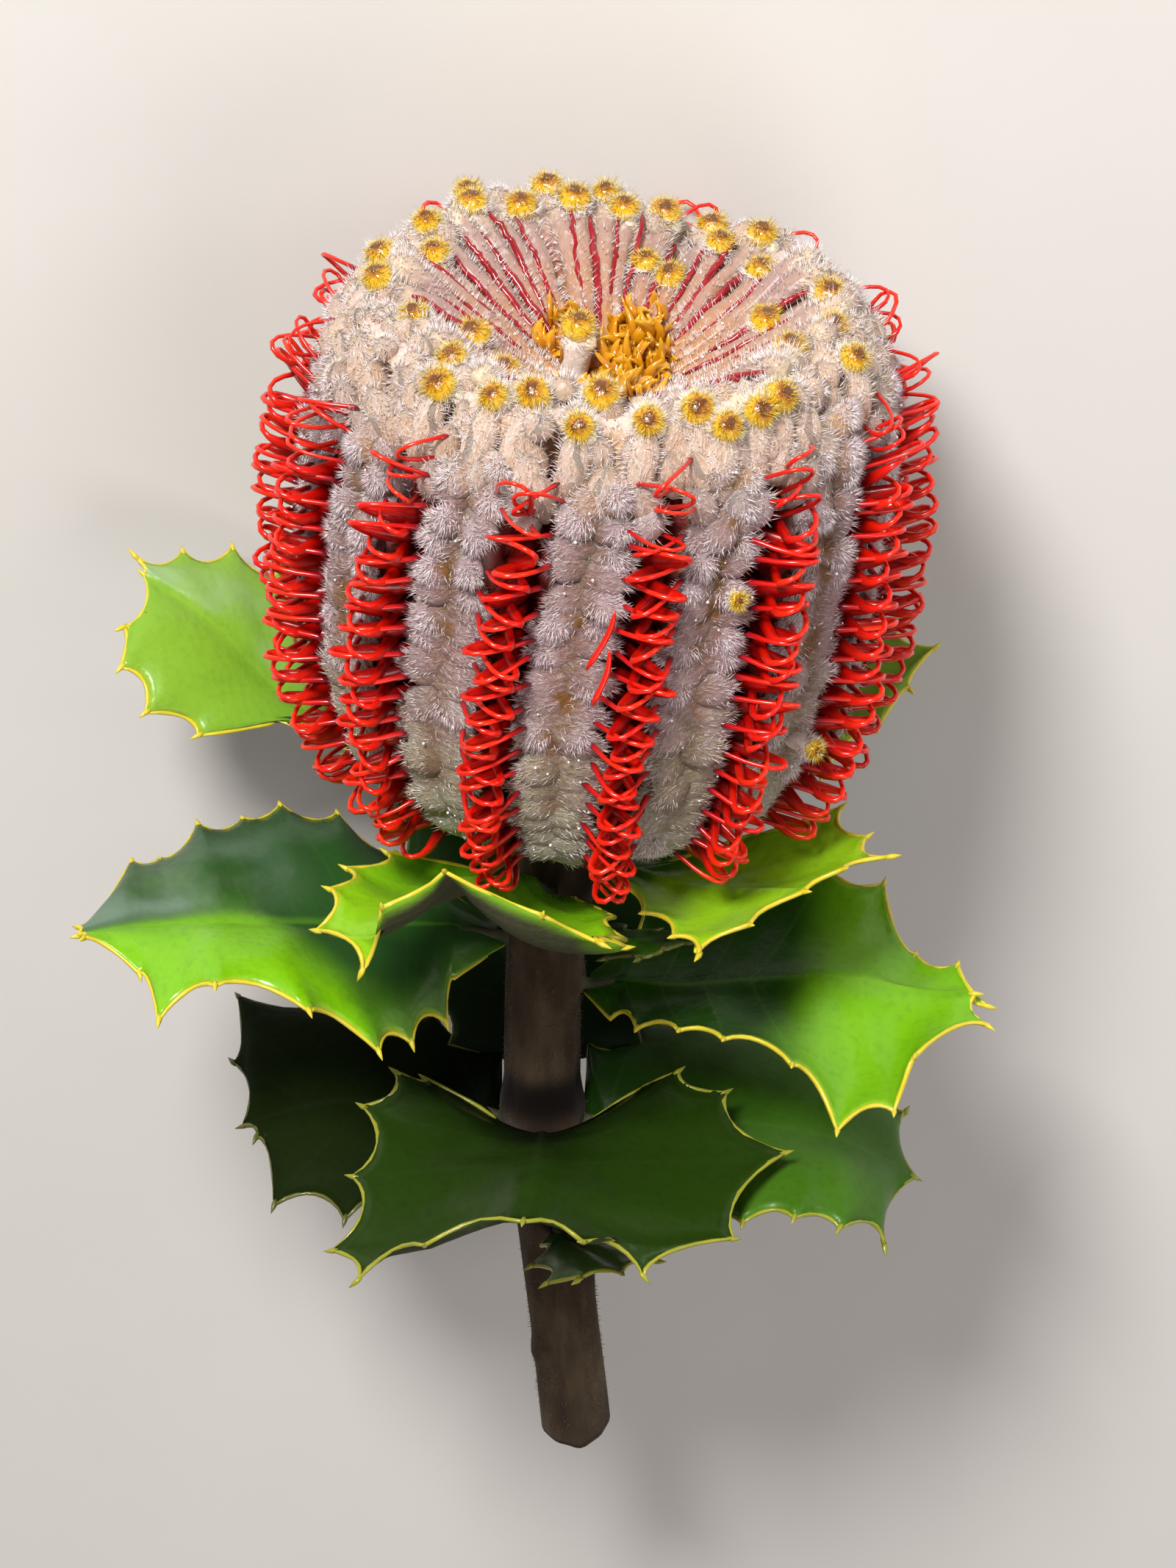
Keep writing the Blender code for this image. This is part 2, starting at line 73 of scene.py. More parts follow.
def unit(vectors):
    return vectors / np.maximum(np.linalg.norm(vectors, axis=-1, keepdims=True), 1e-9)


def ease(x, low, high):                                 # 0 below low, 1 above high, smooth between
    t = np.clip((x - low) / (high - low), 0.0, 1.0)
    return t * t * (3.0 - 2.0 * t)


def smoothAt(rows, t):                                  # a smooth curve through evenly spaced rows
    rows = np.asarray(rows, float)
    x = np.clip(t, 0.0, 1.0) * (len(rows) - 1)
    i = np.minimum(x.astype(int), len(rows) - 2)
    f = (x - i)[..., None]
    a, b, c, d = (rows[np.clip(i + k, 0, len(rows) - 1)] for k in (-1, 0, 1, 2))
    return 0.5 * (2 * b + (c - a) * f + (2 * a - 5 * b + 4 * c - d) * f ** 2
                  + (3 * b - a - 3 * c + d) * f ** 3)


# shader sums

def plug(value, slot):
    if isinstance(value, Wire):
        slot.id_data.links.new(value.socket, slot)
    elif slot.type == "RGBA" and len(value) == 3:
        slot.default_value = (*value, 1.0)
    else:
        slot.default_value = value


class Wire:                                             # an output that can be reckoned with
    def __init__(self, look, socket):
        self.look = look
        self.socket = socket

    def reckon(self, operation, *values):
        return self.look.node("ShaderNodeMath", {"operation": operation}, dict(enumerate(values)))

    def __add__(self, other):
        return self.reckon("ADD", self, other)

    def __sub__(self, other):
        return self.reckon("SUBTRACT", self, other)

    def __rsub__(self, other):
        return self.reckon("SUBTRACT", other, self)

    def __mul__(self, other):
        return self.reckon("MULTIPLY", self, other)

    def size(self):
        return self.reckon("ABSOLUTE", self)

    def fraction(self):
        return self.reckon("FRACT", self)

    def within(self, low, high):                        # 0 at low, 1 at high, smooth between
        settings = {"interpolation_type": "SMOOTHSTEP"}
        return self.look.node("ShaderNodeMapRange", settings, {0: self, 1: low, 2: high})

    __radd__ = __add__
    __rmul__ = __mul__


class Look:                                             # one finish
    def __init__(self, name, fixed):
        self.material = bpy.data.materials.new(name)
        self.material.use_nodes = True
        self.tree = self.material.node_tree
        self.shader = self.tree.nodes["Principled BSDF"]
        for socket, value in fixed.items():
            self.feed(socket, value)

    def node(self, kind, settings, sockets, output=0):  # settings first, then values and links
        made = self.tree.nodes.new(kind)
        for name, value in settings.items():
            if name == "stops":
                ramp = made.color_ramp
                while len(ramp.elements) < len(value):
                    ramp.elements.new(1.0)
                for element, (place, color) in zip(ramp.elements, value):
                    element.position = place
                    element.color = (*color, 1.0)
            else:
                setattr(made, name, value)
        for socket, value in sockets.items():
            plug(value, made.inputs[socket])
        return Wire(self, made.outputs[output])

    def noise(self, scale, detail=2.0, stretch=(1.0, 1.0, 1.0)):
        place = self.node("ShaderNodeTexCoord", {}, {}, "Object")
        place = self.node("ShaderNodeMapping", {}, {"Vector": place, "Scale": stretch})
        return self.node("ShaderNodeTexNoise", {}, {"Vector": place, "Scale": scale, "Detail": detail})

    def value(self, name):
        return self.node("ShaderNodeAttribute", {"attribute_name": name}, {}, "Fac")

    def ramp(self, share, stops):
        return self.node("ShaderNodeValToRGB", {"stops": stops}, {0: share})

    def mix(self, share, first, second):
        return self.node("ShaderNodeMix", {"data_type": "RGBA"}, {0: share, 6: first, 7: second}, 2)

    def feed(self, socket, value):
        plug(value, self.shader.inputs[socket])

    def bump(self, height, strength, distance):
        sockets = {"Height": height, "Strength": strength, "Distance": distance}
        self.feed("Normal", self.node("ShaderNodeBump", {}, sockets))


def plain(name, color, roughness, more=None):
    return Look(name, {"Base Color": color, "Roughness": roughness, **(more or {})})


def mottled(name, scale, detail, colors, fixed):        # two colours in blots
    look = Look(name, fixed)
    look.feed("Base Color", look.mix(look.noise(scale, detail), *colors))
    return look


# meshes

def meshFrom(name, points, corners, starts, shades, looks, values):
    mesh = bpy.data.meshes.new(name)
    mesh.vertices.add(len(points))
    mesh.vertices.foreach_set("co", toWorld(points).astype(np.float32).ravel())
    mesh.loops.add(len(corners))
    mesh.loops.foreach_set("vertex_index", corners.astype(np.int32))
    mesh.polygons.add(len(starts))
    mesh.polygons.foreach_set("loop_start", starts.astype(np.int32))
    mesh.polygons.foreach_set("use_smooth", np.ones(len(starts), bool))
    mesh.polygons.foreach_set("material_index", shades.astype(np.int32))
    mesh.update(calc_edges=True)
    for key, numbers in values.items():
        layer = mesh.attributes.new(key, "FLOAT", "POINT")
        layer.data.foreach_set("value", numbers.astype(np.float32))
    for look in looks:
        mesh.materials.append(look.material)
    made = bpy.data.objects.new(name, mesh)
    bpy.context.scene.collection.objects.link(made)
    return made


def cornerStarts(faces):                                # where each face's corners begin
    return np.cumsum([0] + [len(face) for face in faces[:-1]])


def readModel(model):                                   # a modelled piece as plain arrays
    mesh = model.data
    points = np.array([v.co for v in mesh.vertices])
    faces = [list(face.vertices) for face in mesh.polygons]
    values = {}
    for layer in mesh.attributes:
        if layer.domain == "POINT" and layer.data_type == "FLOAT":
            numbers = np.empty(len(points), np.float32)
            layer.data.foreach_get("value", numbers)
            values[layer.name] = numbers
    bpy.data.objects.remove(model)
    return points, faces, values


def stamp(name, model, spots, frames, looks, shades=None, extra=None):
    # copies of one model, each turned and stretched by its frame, in one mesh
    points, faces, values = model
    count = len(spots)
    copies = spots[:, None] + np.einsum("vi,nij->nvj", points, frames)
    straight = np.concatenate(faces)
    turned = np.concatenate([face[::-1] for face in faces])
    mirrored = np.linalg.det(frames) < 0
    corners = np.where(mirrored[:, None], turned, straight) + len(points) * np.arange(count)[:, None]
    starts = cornerStarts(faces) + len(straight) * np.arange(count)[:, None]
    shades = np.repeat(np.zeros(count) if shades is None else shades, len(faces))
    made = {key: np.tile(numbers, count) for key, numbers in values.items()}
    for key, numbers in (extra or {}).items():
        made[key] = np.repeat(numbers, len(points))
    flat = copies.reshape(-1, 3)
    flat[:, 1] = pressed(flat[:, 1])
    return meshFrom(name, flat, corners.ravel(), starts.ravel(), shades, looks, made)


def pressed(back, soft=1.2):                            # what the surface below would cut bends up to it
    room = axisHeight - back
    held = soft * np.exp(np.minimum(room / soft - 1.0, 0.0))
    return np.where(room < soft, axisHeight - held, back)


def tubeModel(path, radii, sides, strap=None):          # one bent rod, with its length as a value
    bpy.ops.curve.primitive_bezier_curve_add()
    wire = bpy.context.object
    wire.data.splines.clear()
    spline = wire.data.splines.new("POLY")
    spline.points.add(len(path) - 1)
    for point, place, radius in zip(spline.points, path, radii):
        point.co = (*place, 1.0)
        point.radius = radius
    wire.data.bevel_depth = 1.0
    wire.data.bevel_resolution = sides // 2 - 2
    wire.data.use_fill_caps = True
    bpy.ops.object.convert(target="MESH")
    rod = bpy.context.object
    bpy.ops.object.mode_set(mode="EDIT")
    bpy.ops.mesh.select_all(action="SELECT")
    bpy.ops.mesh.remove_doubles(threshold=0.001)
    bpy.ops.mesh.normals_make_consistent(inside=False)
    bpy.ops.object.mode_set(mode="OBJECT")
    path = np.asarray(path, float)
    points = np.array([v.co for v in rod.data.vertices])
    near = np.linalg.norm(points[:, None] - path[None], axis=2).argmin(1)
    layer = rod.data.attributes.new("along", "FLOAT", "POINT")
    layer.data.foreach_set("value", (near / (len(path) - 1)).astype(np.float32))
    if strap:                                           # some of it taller than it is thick
        for vert, row in zip(rod.data.vertices, near):
            vert.co.z = path[row][2] + (vert.co.z - path[row][2]) * strap[row]
    return rod


def bent(ways, roll):                                   # frames whose third axis lies along each way
    ways = unit(ways)
    steady = np.where(np.abs(ways[:, 2:]) < 0.8, [[0.0, 0.0, 1.0]], [[1.0, 0.0, 0.0]])
    side = unit(np.cross(ways, steady))
    other = np.cross(ways, side)
    first = side * np.cos(roll)[:, None] + other * np.sin(roll)[:, None]
    return np.stack([first, np.cross(ways, first), ways], 1)


def alongPath(at, path):                                # the points at these shares of a path
    share = np.linspace(0.0, 1.0, len(path))
    return np.stack([np.interp(at, share, path[:, k]) for k in range(3)], 1)


bpy.ops.mesh.primitive_cone_add(vertices=3, radius1=1.0, radius2=0.0, depth=1.0)
hair = readModel(bpy.context.object)
hair = (hair[0] + (0.0, 0.0, 0.5), hair[1], hair[2])    # its root at zero, its tip at one


def hairs(name, roots, ways, lengths, widths, tones, looks):
    frames = bent(ways, rng.uniform(0, 6.3, len(roots)))
    sizes = np.stack([widths, widths, lengths], 1)
    return stamp(name, hair, roots, frames * sizes[:, :, None], looks, tones)


def done(piece, slot, *nodes):
    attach(piece, "root")
    if nodes:
        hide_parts(*nodes)
    print("%-24s %7d triangles" % (piece.name, sum(len(f.vertices) - 2 for f in piece.data.polygons)))


# the head's form

head = {
    "columns": 14,
    "firstColumn": 7.5,             # bearing of its first red groove, from the front to the right
    "twist": 8.0,                   # degrees from base to rim
    "height": 70.0,
    "girth": 37.5,
    "lean": -0.0524,
    "bend": 0.0015,
    "low": {"bearing": 128.0, "drop": 4.0, "narrow": 0.07, "from": 30.0},       # its lower side
    "notch": {"bearing": 161.0, "wide": 6.5, "deep": 4.6,                       # in the back rim
              "heights": (60.0, 69.0), "radii": (16.0, 25.0)},
    # height and radius, from the stem to the rim, and from the rim to the middle
    "side": [(0.0, 0.0), (0.0, 13.0), (0.4, 21.0), (2.6, 26.8), (7.0, 31.3), (13.0, 34.2), (20.0, 36.2),
             (27.0, 37.3), (34.0, 37.8), (41.0, 38.0), (48.0, 37.8), (55.0, 37.4), (61.0, 36.5),
             (66.0, 35.2), (69.4, 32.6)],
    "crown": [(70.2, 29.0), (68.6, 25.0), (65.5, 20.5), (62.0, 15.5), (58.5, 10.0), (56.5, 5.0),
              (56.0, 0.0)],
}
columnStep = 360.0 / head["columns"]


def headSpot(bearing, height, radius):
    bearing, height, radius = np.broadcast_arrays(np.asarray(bearing, float), height, radius)
    turned = bearing + head["twist"] * (height / head["height"] - 0.5)
    low, notch = head["low"], head["notch"]
    side = np.maximum(0.0, np.cos(np.radians(turned - low["bearing"])))
    side = side * np.clip((height - low["from"]) / (head["height"] - low["from"]), 0.0, 1.0)
    side = side * np.minimum(1.0, radius / low["from"])
    radius = radius * (1.0 - low["narrow"] * side)
    apart = (turned - notch["bearing"] + 180.0) % 360.0 - 180.0
    dip = notch["deep"] * np.exp(-(apart / notch["wide"]) ** 2)
    dip = dip * ease(height, *notch["heights"]) * ease(radius, *notch["radii"])
    turned = np.radians(turned)
    middle = head["lean"] * height + head["bend"] * height ** 2
    return np.stack([middle + radius * np.sin(turned), -radius * np.cos(turned),
                     height - low["drop"] * side - dip], -1)


def woolRadius(height):
    side = np.array(head["side"][2:])
    return np.interp(height, side[:, 0], side[:, 1])


def crownHeight(radius):
    crown = np.array(head["crown"][::-1])
    return np.interp(radius, crown[:, 1], crown[:, 0])


def headAxes(bearing, height):                          # round the head, out of it, up along it
    bearing, height = np.broadcast_arrays(np.asarray(bearing, float), height)
    turned = np.radians(bearing + head["twist"] * (height / head["height"] - 0.5))
    zero = np.zeros_like(turned)
    out = np.stack([np.sin(turned), -np.cos(turned), zero], -1)
    across = np.stack([np.cos(turned), np.sin(turned), zero], -1)
    up = np.stack([zero, zero, zero + 1.0], -1)
    slope = np.clip((woolRadius(height + 1.0) - woolRadius(height - 1.0)) / 2.0, -1.2, 1.2)[..., None]
    return across, unit(out - up * slope), unit(up + out * slope)


# wool: the body under the hairs

wool = {
    "steps": 12,                    # points across one red and one white column
    "rings": 84,
    # from a red groove to a white seam: share of a column, depth under the plain form
    "across": [(0.0, -6.2), (0.10, -5.7), (0.17, -4.4), (0.25, -2.9), (0.34, -2.3), (0.42, -2.5),
               (0.5, -3.2)],
    "baseFade": (-1.5, 4.5),
    "rimFade": (70.5, 5.0),
    "columnsFrom": 24.0,            # radius
    "paleFrom": (60.0, 65.0),       # heights over which the grooves turn pale
    "seam": (0.42, 0.24, 0.09),
    "fleece": (0.74, 0.56, 0.50),
    # the next is the fleece near the rim, tinted golden as painted shade between the rim's fingers
    "rimFleeceShade": (0.66, 0.45, 0.29),
    # the next two are a red groove's edge and its depth: red, and darker deep down as painted shade of the
    # recess
    "edge": (0.42, 0.10, 0.09),
    "groove": (0.20, 0.008, 0.008),
    # the funnel, from its middle out
    "top": [(0.0, (0.45, 0.17, 0.02)), (0.25, (0.45, 0.17, 0.02)), (0.45, (0.46, 0.20, 0.09)),
            (0.75, (0.36, 0.17, 0.13)), (1.0, (0.76, 0.62, 0.56))],
}


def rimFade(height):                                    # the columns' relief ends at the rim
    return np.clip((wool["rimFade"][0] - height) / wool["rimFade"][1], 0.0, 1.0)


def buildWool():
    rows = [np.array(row) for row in head["side"] + head["crown"]]
    segments = head["columns"] * wool["steps"]
    bpy.ops.mesh.primitive_uv_sphere_add(segments=segments, ring_count=wool["rings"], radius=1.0)
    points, faces, _ = readModel(bpy.context.object)
    share = 1.0 - np.arccos(np.clip(points[:, 2], -1.0, 1.0)) / math.pi
    place = smoothAt(rows, share)
    height, radius = np.maximum(place[:, 0], 0.0), np.maximum(place[:, 1], 0.0)
    step = np.round(segments * np.arctan2(points[:, 0], -points[:, 1]) / (2 * math.pi))
    phase = (step % wool["steps"]) / wool["steps"]
    white = 1.0 - 2.0 * np.abs(phase - 0.5)             # 0 in a red groove, 1 on a white seam
    relief = np.interp(white / 2, *np.array(wool["across"]).T)
    rim = (len(head["side"]) - 1) / (len(rows) - 1)
    fade = np.minimum(1.0, (height - wool["baseFade"][0]) / wool["baseFade"][1])
    fade = np.minimum(fade, rimFade(height))
    fade = np.where((share < rim) & (radius > wool["columnsFrom"]), fade, 0.0)
    radius = radius + fade * relief
    values = {
        "white": np.maximum(white, 0.75 * ease(height, *wool["paleFrom"])),
        "crown": ease(share, rim - 0.02, rim + 0.03),
        "fromAxis": radius / 30.0,
        "level": height / head["height"],
    }
    fleece = Look("woolFleece", {"Roughness": 0.95, "Specular IOR Level": 0.2})
    grain = fleece.noise(900.0, 3.0)
    blot = fleece.noise(160.0, 2.0)
    white = fleece.value("white")
    between = fleece.mix(blot.within(0.42, 0.60), wool["seam"], wool["fleece"])
    # near the rim the fleece takes a golden tint that is partly painted shade
    between = fleece.mix(fleece.value("level").within(0.80, 0.90), between, wool["rimFleeceShade"])
    # painted shade: the grooves turn darker towards their depth
    groove = fleece.ramp(white + (grain - 0.5) * 0.18, [
        (0.0, wool["groove"]), (0.30, wool["groove"]), (0.50, wool["edge"])])
    side = fleece.mix(white.within(0.44, 0.62), groove, between)
    top = fleece.ramp(fleece.value("fromAxis") + (grain - 0.5) * 0.12, wool["top"])
    fleece.feed("Base Color", fleece.mix(fleece.value("crown"), side, top))
    fleece.bump(grain, 1.0, 0.6 * mm)
    bearing = head["firstColumn"] + 360.0 * step / segments
    made = meshFrom("woollyBody", headSpot(bearing, height, radius), np.concatenate(faces),
                    cornerStarts(faces), np.zeros(len(faces)), [fleece], values)
    done(made, "wool", "wool_head")


# wool: furry limbs in two columns on each white band, and the hairs on them

limb = {
    "rows": 21,
    "first": 2.2,
    "last": 65.0,
    "reach": 8.4,                   # from past the seam to the red groove
    "thick": 2.65,
    "deep": 1.9,
    "sink": 1.65,                   # its middle under the wool's mean surface
    "rootSink": 0.12,               # share of its depth that its root is lower
    "droop": 15.0,                  # degrees that it hangs to its tip
    "loose": (36.0, 60.0),          # heights over which the limbs grow looser
    "free": (22.0, 48.0),           # heights over which they part from their neighbours
    "tufted": (20.0, 52.0),         # heights over which more and more of them burst
    "stray": 0.09,                  # share of loose ones lower down
    "girth": (0.86, 0.26),          # at the seam, and what it gains to the tip
    "fuzz": 79,                     # hairs on each
    "tuft": 112,                    # longer hairs on one that has burst into a white tuft
    "groups": [(0, 5), (5, 9), (9, 14)],        # the white bands whose hairs are one piece
}


def limbGirth(share):                                   # how thick it is along its length
    blunt = np.clip(1.0 - np.abs(2.0 * share - 1.0) ** 2.6, 0.0, 1.0) ** 0.55
    return (limb["girth"][0] + limb["girth"][1] * share) * blunt * (1.0 - 0.35 * ease(share, 0.6, 1.0))


def limbModel():
    bpy.ops.mesh.primitive_uv_sphere_add(segments=12, ring_count=8, radius=1.0)
    sphere = bpy.context.object
    bpy.ops.transform.rotate(value=math.pi / 2, orient_axis="Y", center_override=(0, 0, 0))
    bpy.ops.object.transform_apply(location=True, rotation=True, scale=True)
    for key in ("along", "crest", "turn"):
        sphere.data.attributes.new(key, "FLOAT", "POINT")
    layers = sphere.data.attributes
    for vert in sphere.data.vertices:
        share = (vert.co.x + 1.0) / 2.0
        turn = math.atan2(vert.co.z, vert.co.y)
        girth = limbGirth(share) if 0.001 < share < 0.999 else 0.0
        layers["along"].data[vert.index].value = share
        layers["crest"].data[vert.index].value = math.cos(turn)
        layers["turn"].data[vert.index].value = turn
        sunk = limb["rootSink"] * (1 - share) ** 2
        vert.co = (share, girth * math.cos(turn) - sunk, girth * math.sin(turn))
    return readModel(sphere)


def limbSites():
    bands, sides, rows = np.meshgrid(np.arange(head["columns"]), (-1, 1), np.arange(limb["rows"]))
    band, side, row = bands.ravel(), sides.ravel(), rows.ravel()
    count = len(band)
    share = (row + 0.5 * (side > 0) + rng.normal(0, 0.06, count)) / limb["rows"]
    height = limb["first"] + (limb["last"] - limb["first"]) * share
    free = ease(height, *limb["free"])
    loose = ease(height, *limb["loose"]) * rng.uniform(0.45, 1.0, count)
    loose = np.maximum(loose, (rng.random(count) < limb["stray"]) * 0.6 * ease(height, 6.0, 20.0))
    middle = head["firstColumn"] + columnStep * (band + 0.5)
    radius = woolRadius(height)
    across, out, up = headAxes(middle, height)
    start = side * (rng.uniform(-2.6, -1.9, count) + 1.8 * loose)
    sunk = limb["sink"] - 0.35 * (1 - free) - loose * rng.uniform(-0.2, 1.2, count)
    spot = headSpot(middle + np.degrees(start / radius), height, radius - sunk)
    droop = np.radians(limb["droop"] + rng.normal(0, 5, count) + loose * rng.normal(-6, 24, count))
    lift = rng.normal(0.02, 0.05, count) + loose * rng.uniform(0.0, 0.5, count)
    way = across * (side * np.cos(droop))[:, None] - up * np.sin(droop)[:, None] + out * lift[:, None]
    way = unit(way)
    narrow = np.clip(radius / head["girth"], 0.62, 1.0)
    length = (limb["reach"] * narrow + rng.normal(0, 0.3, count)) * (1.0 - 0.36 * loose)
    rise = unit(np.cross(way, out) * side[:, None])
    face = unit(np.cross(rise, way) * side[:, None])
    thick = limb["thick"] * (1.20 - 0.20 * free - 0.10 * loose + rng.normal(0, 0.04, count))
    deep = limb["deep"] * (0.80 + 0.20 * free + rng.normal(0, 0.05, count))
    tufted = rng.random(count) < 0.05 + 0.60 * ease(height, *limb["tufted"])
    return {"spot": spot, "way": way, "face": face, "rise": rise, "length": length, "thick": thick,
            "deep": deep, "loose": loose, "level": height / head["height"], "band": band, "tuft": tufted}


def limbFrames(sites):
    return np.stack([sites["way"] * sites["length"][:, None], sites["face"] * sites["deep"][:, None],
                     sites["rise"] * sites["thick"][:, None]], 1)


fur = {
    # along a limb, from its root to its tip
    "low": [(0.26, (0.19, 0.12, 0.025)), (0.42, (0.31, 0.25, 0.11)), (0.80, (0.40, 0.33, 0.20)),
            (0.97, (0.56, 0.44, 0.40))],
    "high": [(0.24, (0.28, 0.12, 0.030)), (0.40, (0.35, 0.165, 0.125)), (0.80, (0.47, 0.27, 0.25)),
             (0.97, (0.68, 0.52, 0.54))],
    # low on the head, and high on it
    "bright": ((0.66, 0.60, 0.48), (0.68, 0.53, 0.55)),
    # the next pair is painted shade in the creases between limbs
    "dim": ((0.27, 0.22, 0.11), (0.34, 0.19, 0.15)),
    "snow": ((0.86, 0.83, 0.66), (0.87, 0.70, 0.75)),
    # between streaks, and on them
    "foot": ((0.44, 0.40, 0.29), (0.76, 0.73, 0.65)),
    "rim": ((0.68, 0.34, 0.13), (0.98, 0.72, 0.52)),
    "rimSnow": (0.93, 0.84, 0.81),
    "amber": (0.30, 0.12, 0.012),
}
hairColors = {"white": (0.98, 0.93, 0.95), "pearl": (0.80, 0.62, 0.66), "cream": (0.74, 0.66, 0.44),
              "olive": (0.42, 0.35, 0.18), "rose": (0.66, 0.40, 0.44)}
hairTone = {name: number for number, name in enumerate(hairColors)}


def woolLook():
    skin = Look("woolSkin", {"Roughness": 0.85, "Specular IOR Level": 0.25, "Sheen Weight": 0.3,
                             "Sheen Roughness": 0.4})
    grain = skin.noise(1300.0, 4.0)
    blot = skin.noise(190.0, 2.0)
    along, turn, seed = skin.value("along"), skin.value("turn"), skin.value("seed")
    lie = skin.node("ShaderNodeCombineXYZ", {}, {"X": along * 1.3, "Y": turn * 0.75, "Z": seed * 31.0})
    streak = skin.node("ShaderNodeTexNoise", {},
                       {"Vector": lie, "Scale": 6.5, "Detail": 4.0, "Roughness": 0.7})
    streak = streak.within(0.30, 0.72)
    along = along + (grain - 0.5) * 0.20
    crest = (skin.value("crest") * 0.5 + 0.5) + (blot - 0.5) * 0.3 + (streak - 0.5) * 0.15
    level = (skin.value("level") + (blot - 0.5) * 0.40).within(0.16, 0.56)
    color = skin.mix(level, skin.ramp(along, fur["low"]), skin.ramp(along, fur["high"]))
    color = skin.mix(streak * 0.6, color, skin.mix(level, *fur["bright"]))
    # painted shade: darker where the limb turns away into the crease between limbs
    color = skin.mix(crest.within(0.15, 0.75), skin.mix(level, *fur["dim"]), color)
    foot = (skin.value("level") + (blot - 0.5) * 0.24).within(0.04, 0.32)
    color = skin.mix(foot, skin.mix(streak, *fur["foot"]), color)
    amber = (1 - along.within(0.30, 0.62)) * blot.within(0.52, 0.60) * level
    color = skin.mix(amber, color, fur["amber"])
    rim = skin.value("level").within(0.82, 0.95)
    color = skin.mix(rim, color, skin.mix(streak, *fur["rim"]))
    snow = skin.mix(rim, skin.mix(level, *fur["snow"]), fur["rimSnow"])
    white = skin.value("tuft") * along.within(0.42, 0.60) * (streak * 0.55 + grain * 0.35 + 0.25)
    white = white * (1 - rim * 0.32)
    skin.feed("Base Color", skin.mix(white, color, snow))
    skin.bump((grain + streak) * (1 - rim * 0.45), 1.0, 0.55 * mm)
    return skin


def buildLimbs(sites, skin, looks):
    white = 0.55 * sites["tuft"] + 0.30 * ease(sites["level"], 0.10, 0.40)
    seeds = {"level": sites["level"], "seed": rng.random(len(white)), "tuft": white}
    done(stamp("woollyLimbs", limbModel(), sites["spot"], limbFrames(sites), [skin], None, seeds), "wool")
    for number, (first, last) in enumerate(limb["groups"]):
        chosen = np.flatnonzero((sites["band"] >= first) & (sites["band"] < last))
        done(fuzzOn("woolFuzz%d" % (number + 1), sites, chosen, looks), "wool")
    done(tuftsOn("woolTufts", sites, np.flatnonzero(sites["tuft"]), looks), "wool")


def onLimb(sites, who, along, turn, depth):             # a place on a limb and the way out of it
    ring = sites["face"][who] * np.cos(turn)[:, None] + sites["rise"][who] * np.sin(turn)[:, None]
    flesh = (sites["face"][who] * (np.cos(turn) * sites["deep"][who])[:, None]
             + sites["rise"][who] * (np.sin(turn) * sites["thick"][who])[:, None])
    place = sites["spot"][who] + sites["way"][who] * (along * sites["length"][who])[:, None]
    place = place - sites["face"][who] * (limb["rootSink"] * (1 - along) ** 2 * sites["deep"][who])[:, None]
    tipward = (2.2 * np.maximum(along - 0.6, 0.0))[:, None]
    return place + flesh * (limbGirth(along) - depth)[:, None], unit(ring + sites["way"][who] * tipward)


def fuzzOn(name, sites, chosen, looks):
    who = np.repeat(chosen, limb["fuzz"])
    count = len(who)
    fringe = rng.random(count) < 0.45
    along = np.where(fringe, rng.uniform(0.74, 0.99, count), rng.uniform(0.25, 0.99, count))
    under = rng.random(count) < 0.5
    turn = np.where(under, rng.normal(-0.85, 0.28, count), rng.normal(0.15, 0.55, count))
    root, away = onLimb(sites, who, along, turn, 0.06)
    loose, level = sites["loose"][who], sites["level"][who]
    way = sites["way"][who] * (0.85 - 0.30 * loose)[:, None] + away * (0.30 + 0.45 * loose)[:, None]
    way = way - sites["rise"][who] * (0.55 * under)[:, None] + rng.normal(0, 0.26, (count, 3))
    length = rng.uniform(0.7, 1.35, count) * (1.10 + 0.10 * level)
    width = rng.uniform(0.046, 0.076, count)
    pearly = rng.random(count) < 0.10 + 0.80 * ease(level, 0.25, 0.5)
    tone = np.where(pearly, hairTone["pearl"], hairTone["cream"])
    tone = np.where(rng.random(count) < 0.26 * (1 - ease(level, 0.2, 0.5)), hairTone["olive"], tone)
    # some fringe hairs by the red grooves are rose: the wool's own tint and painted reflection of the red
    tone = np.where(fringe & (rng.random(count) < 0.25), hairTone["rose"], tone)
    snowy = rng.random(count) < 0.06 + 0.36 * level + 0.6 * (1 - ease(level, 0.06, 0.34))
    tone = np.where(snowy, hairTone["white"], tone)
    return hairs(name, root, way, length, width, tone, looks)


def tuftsOn(name, sites, chosen, looks):                # white clumps whose hairs hang out and down
    who = np.repeat(chosen, limb["tuft"])
    count = len(who)
    heart = np.repeat(rng.uniform(0.50, 0.85, len(chosen)), limb["tuft"])
    lean = np.repeat(rng.normal(0.0, 0.35, len(chosen)), limb["tuft"])
    along = np.clip(heart + rng.normal(0, 0.13, count), 0.1, 0.98)
    turn = lean + rng.normal(0, 0.50, count)
    root, away = onLimb(sites, who, along, turn, 0.10)
    middle, _ = onLimb(sites, who, heart, lean, 0.55)
    way = unit(root - middle) * 0.6 + away * 0.45 + rng.normal(0, 0.16, (count, 3))
    way = way + sites["way"][who] * 0.25
    way[:, 2] -= 0.50
    snowy = rng.random(count) < 0.30 + 0.45 * ease(sites["level"][who], 0.5, 0.9)
    tone = np.where(snowy, hairTone["white"], hairTone["pearl"])
    length, width = rng.uniform(0.8, 1.6, count), rng.uniform(0.055, 0.085, count)
    return hairs(name, root, way, length, width, tone, looks)


def furLooks():
    more = {"Specular IOR Level": 0.45, "Sheen Weight": 0.2}
    return [plain("hair" + name.capitalize(), color, 0.45, more) for name, color in hairColors.items()]


# red styles: hooked loops, left and right in each groove

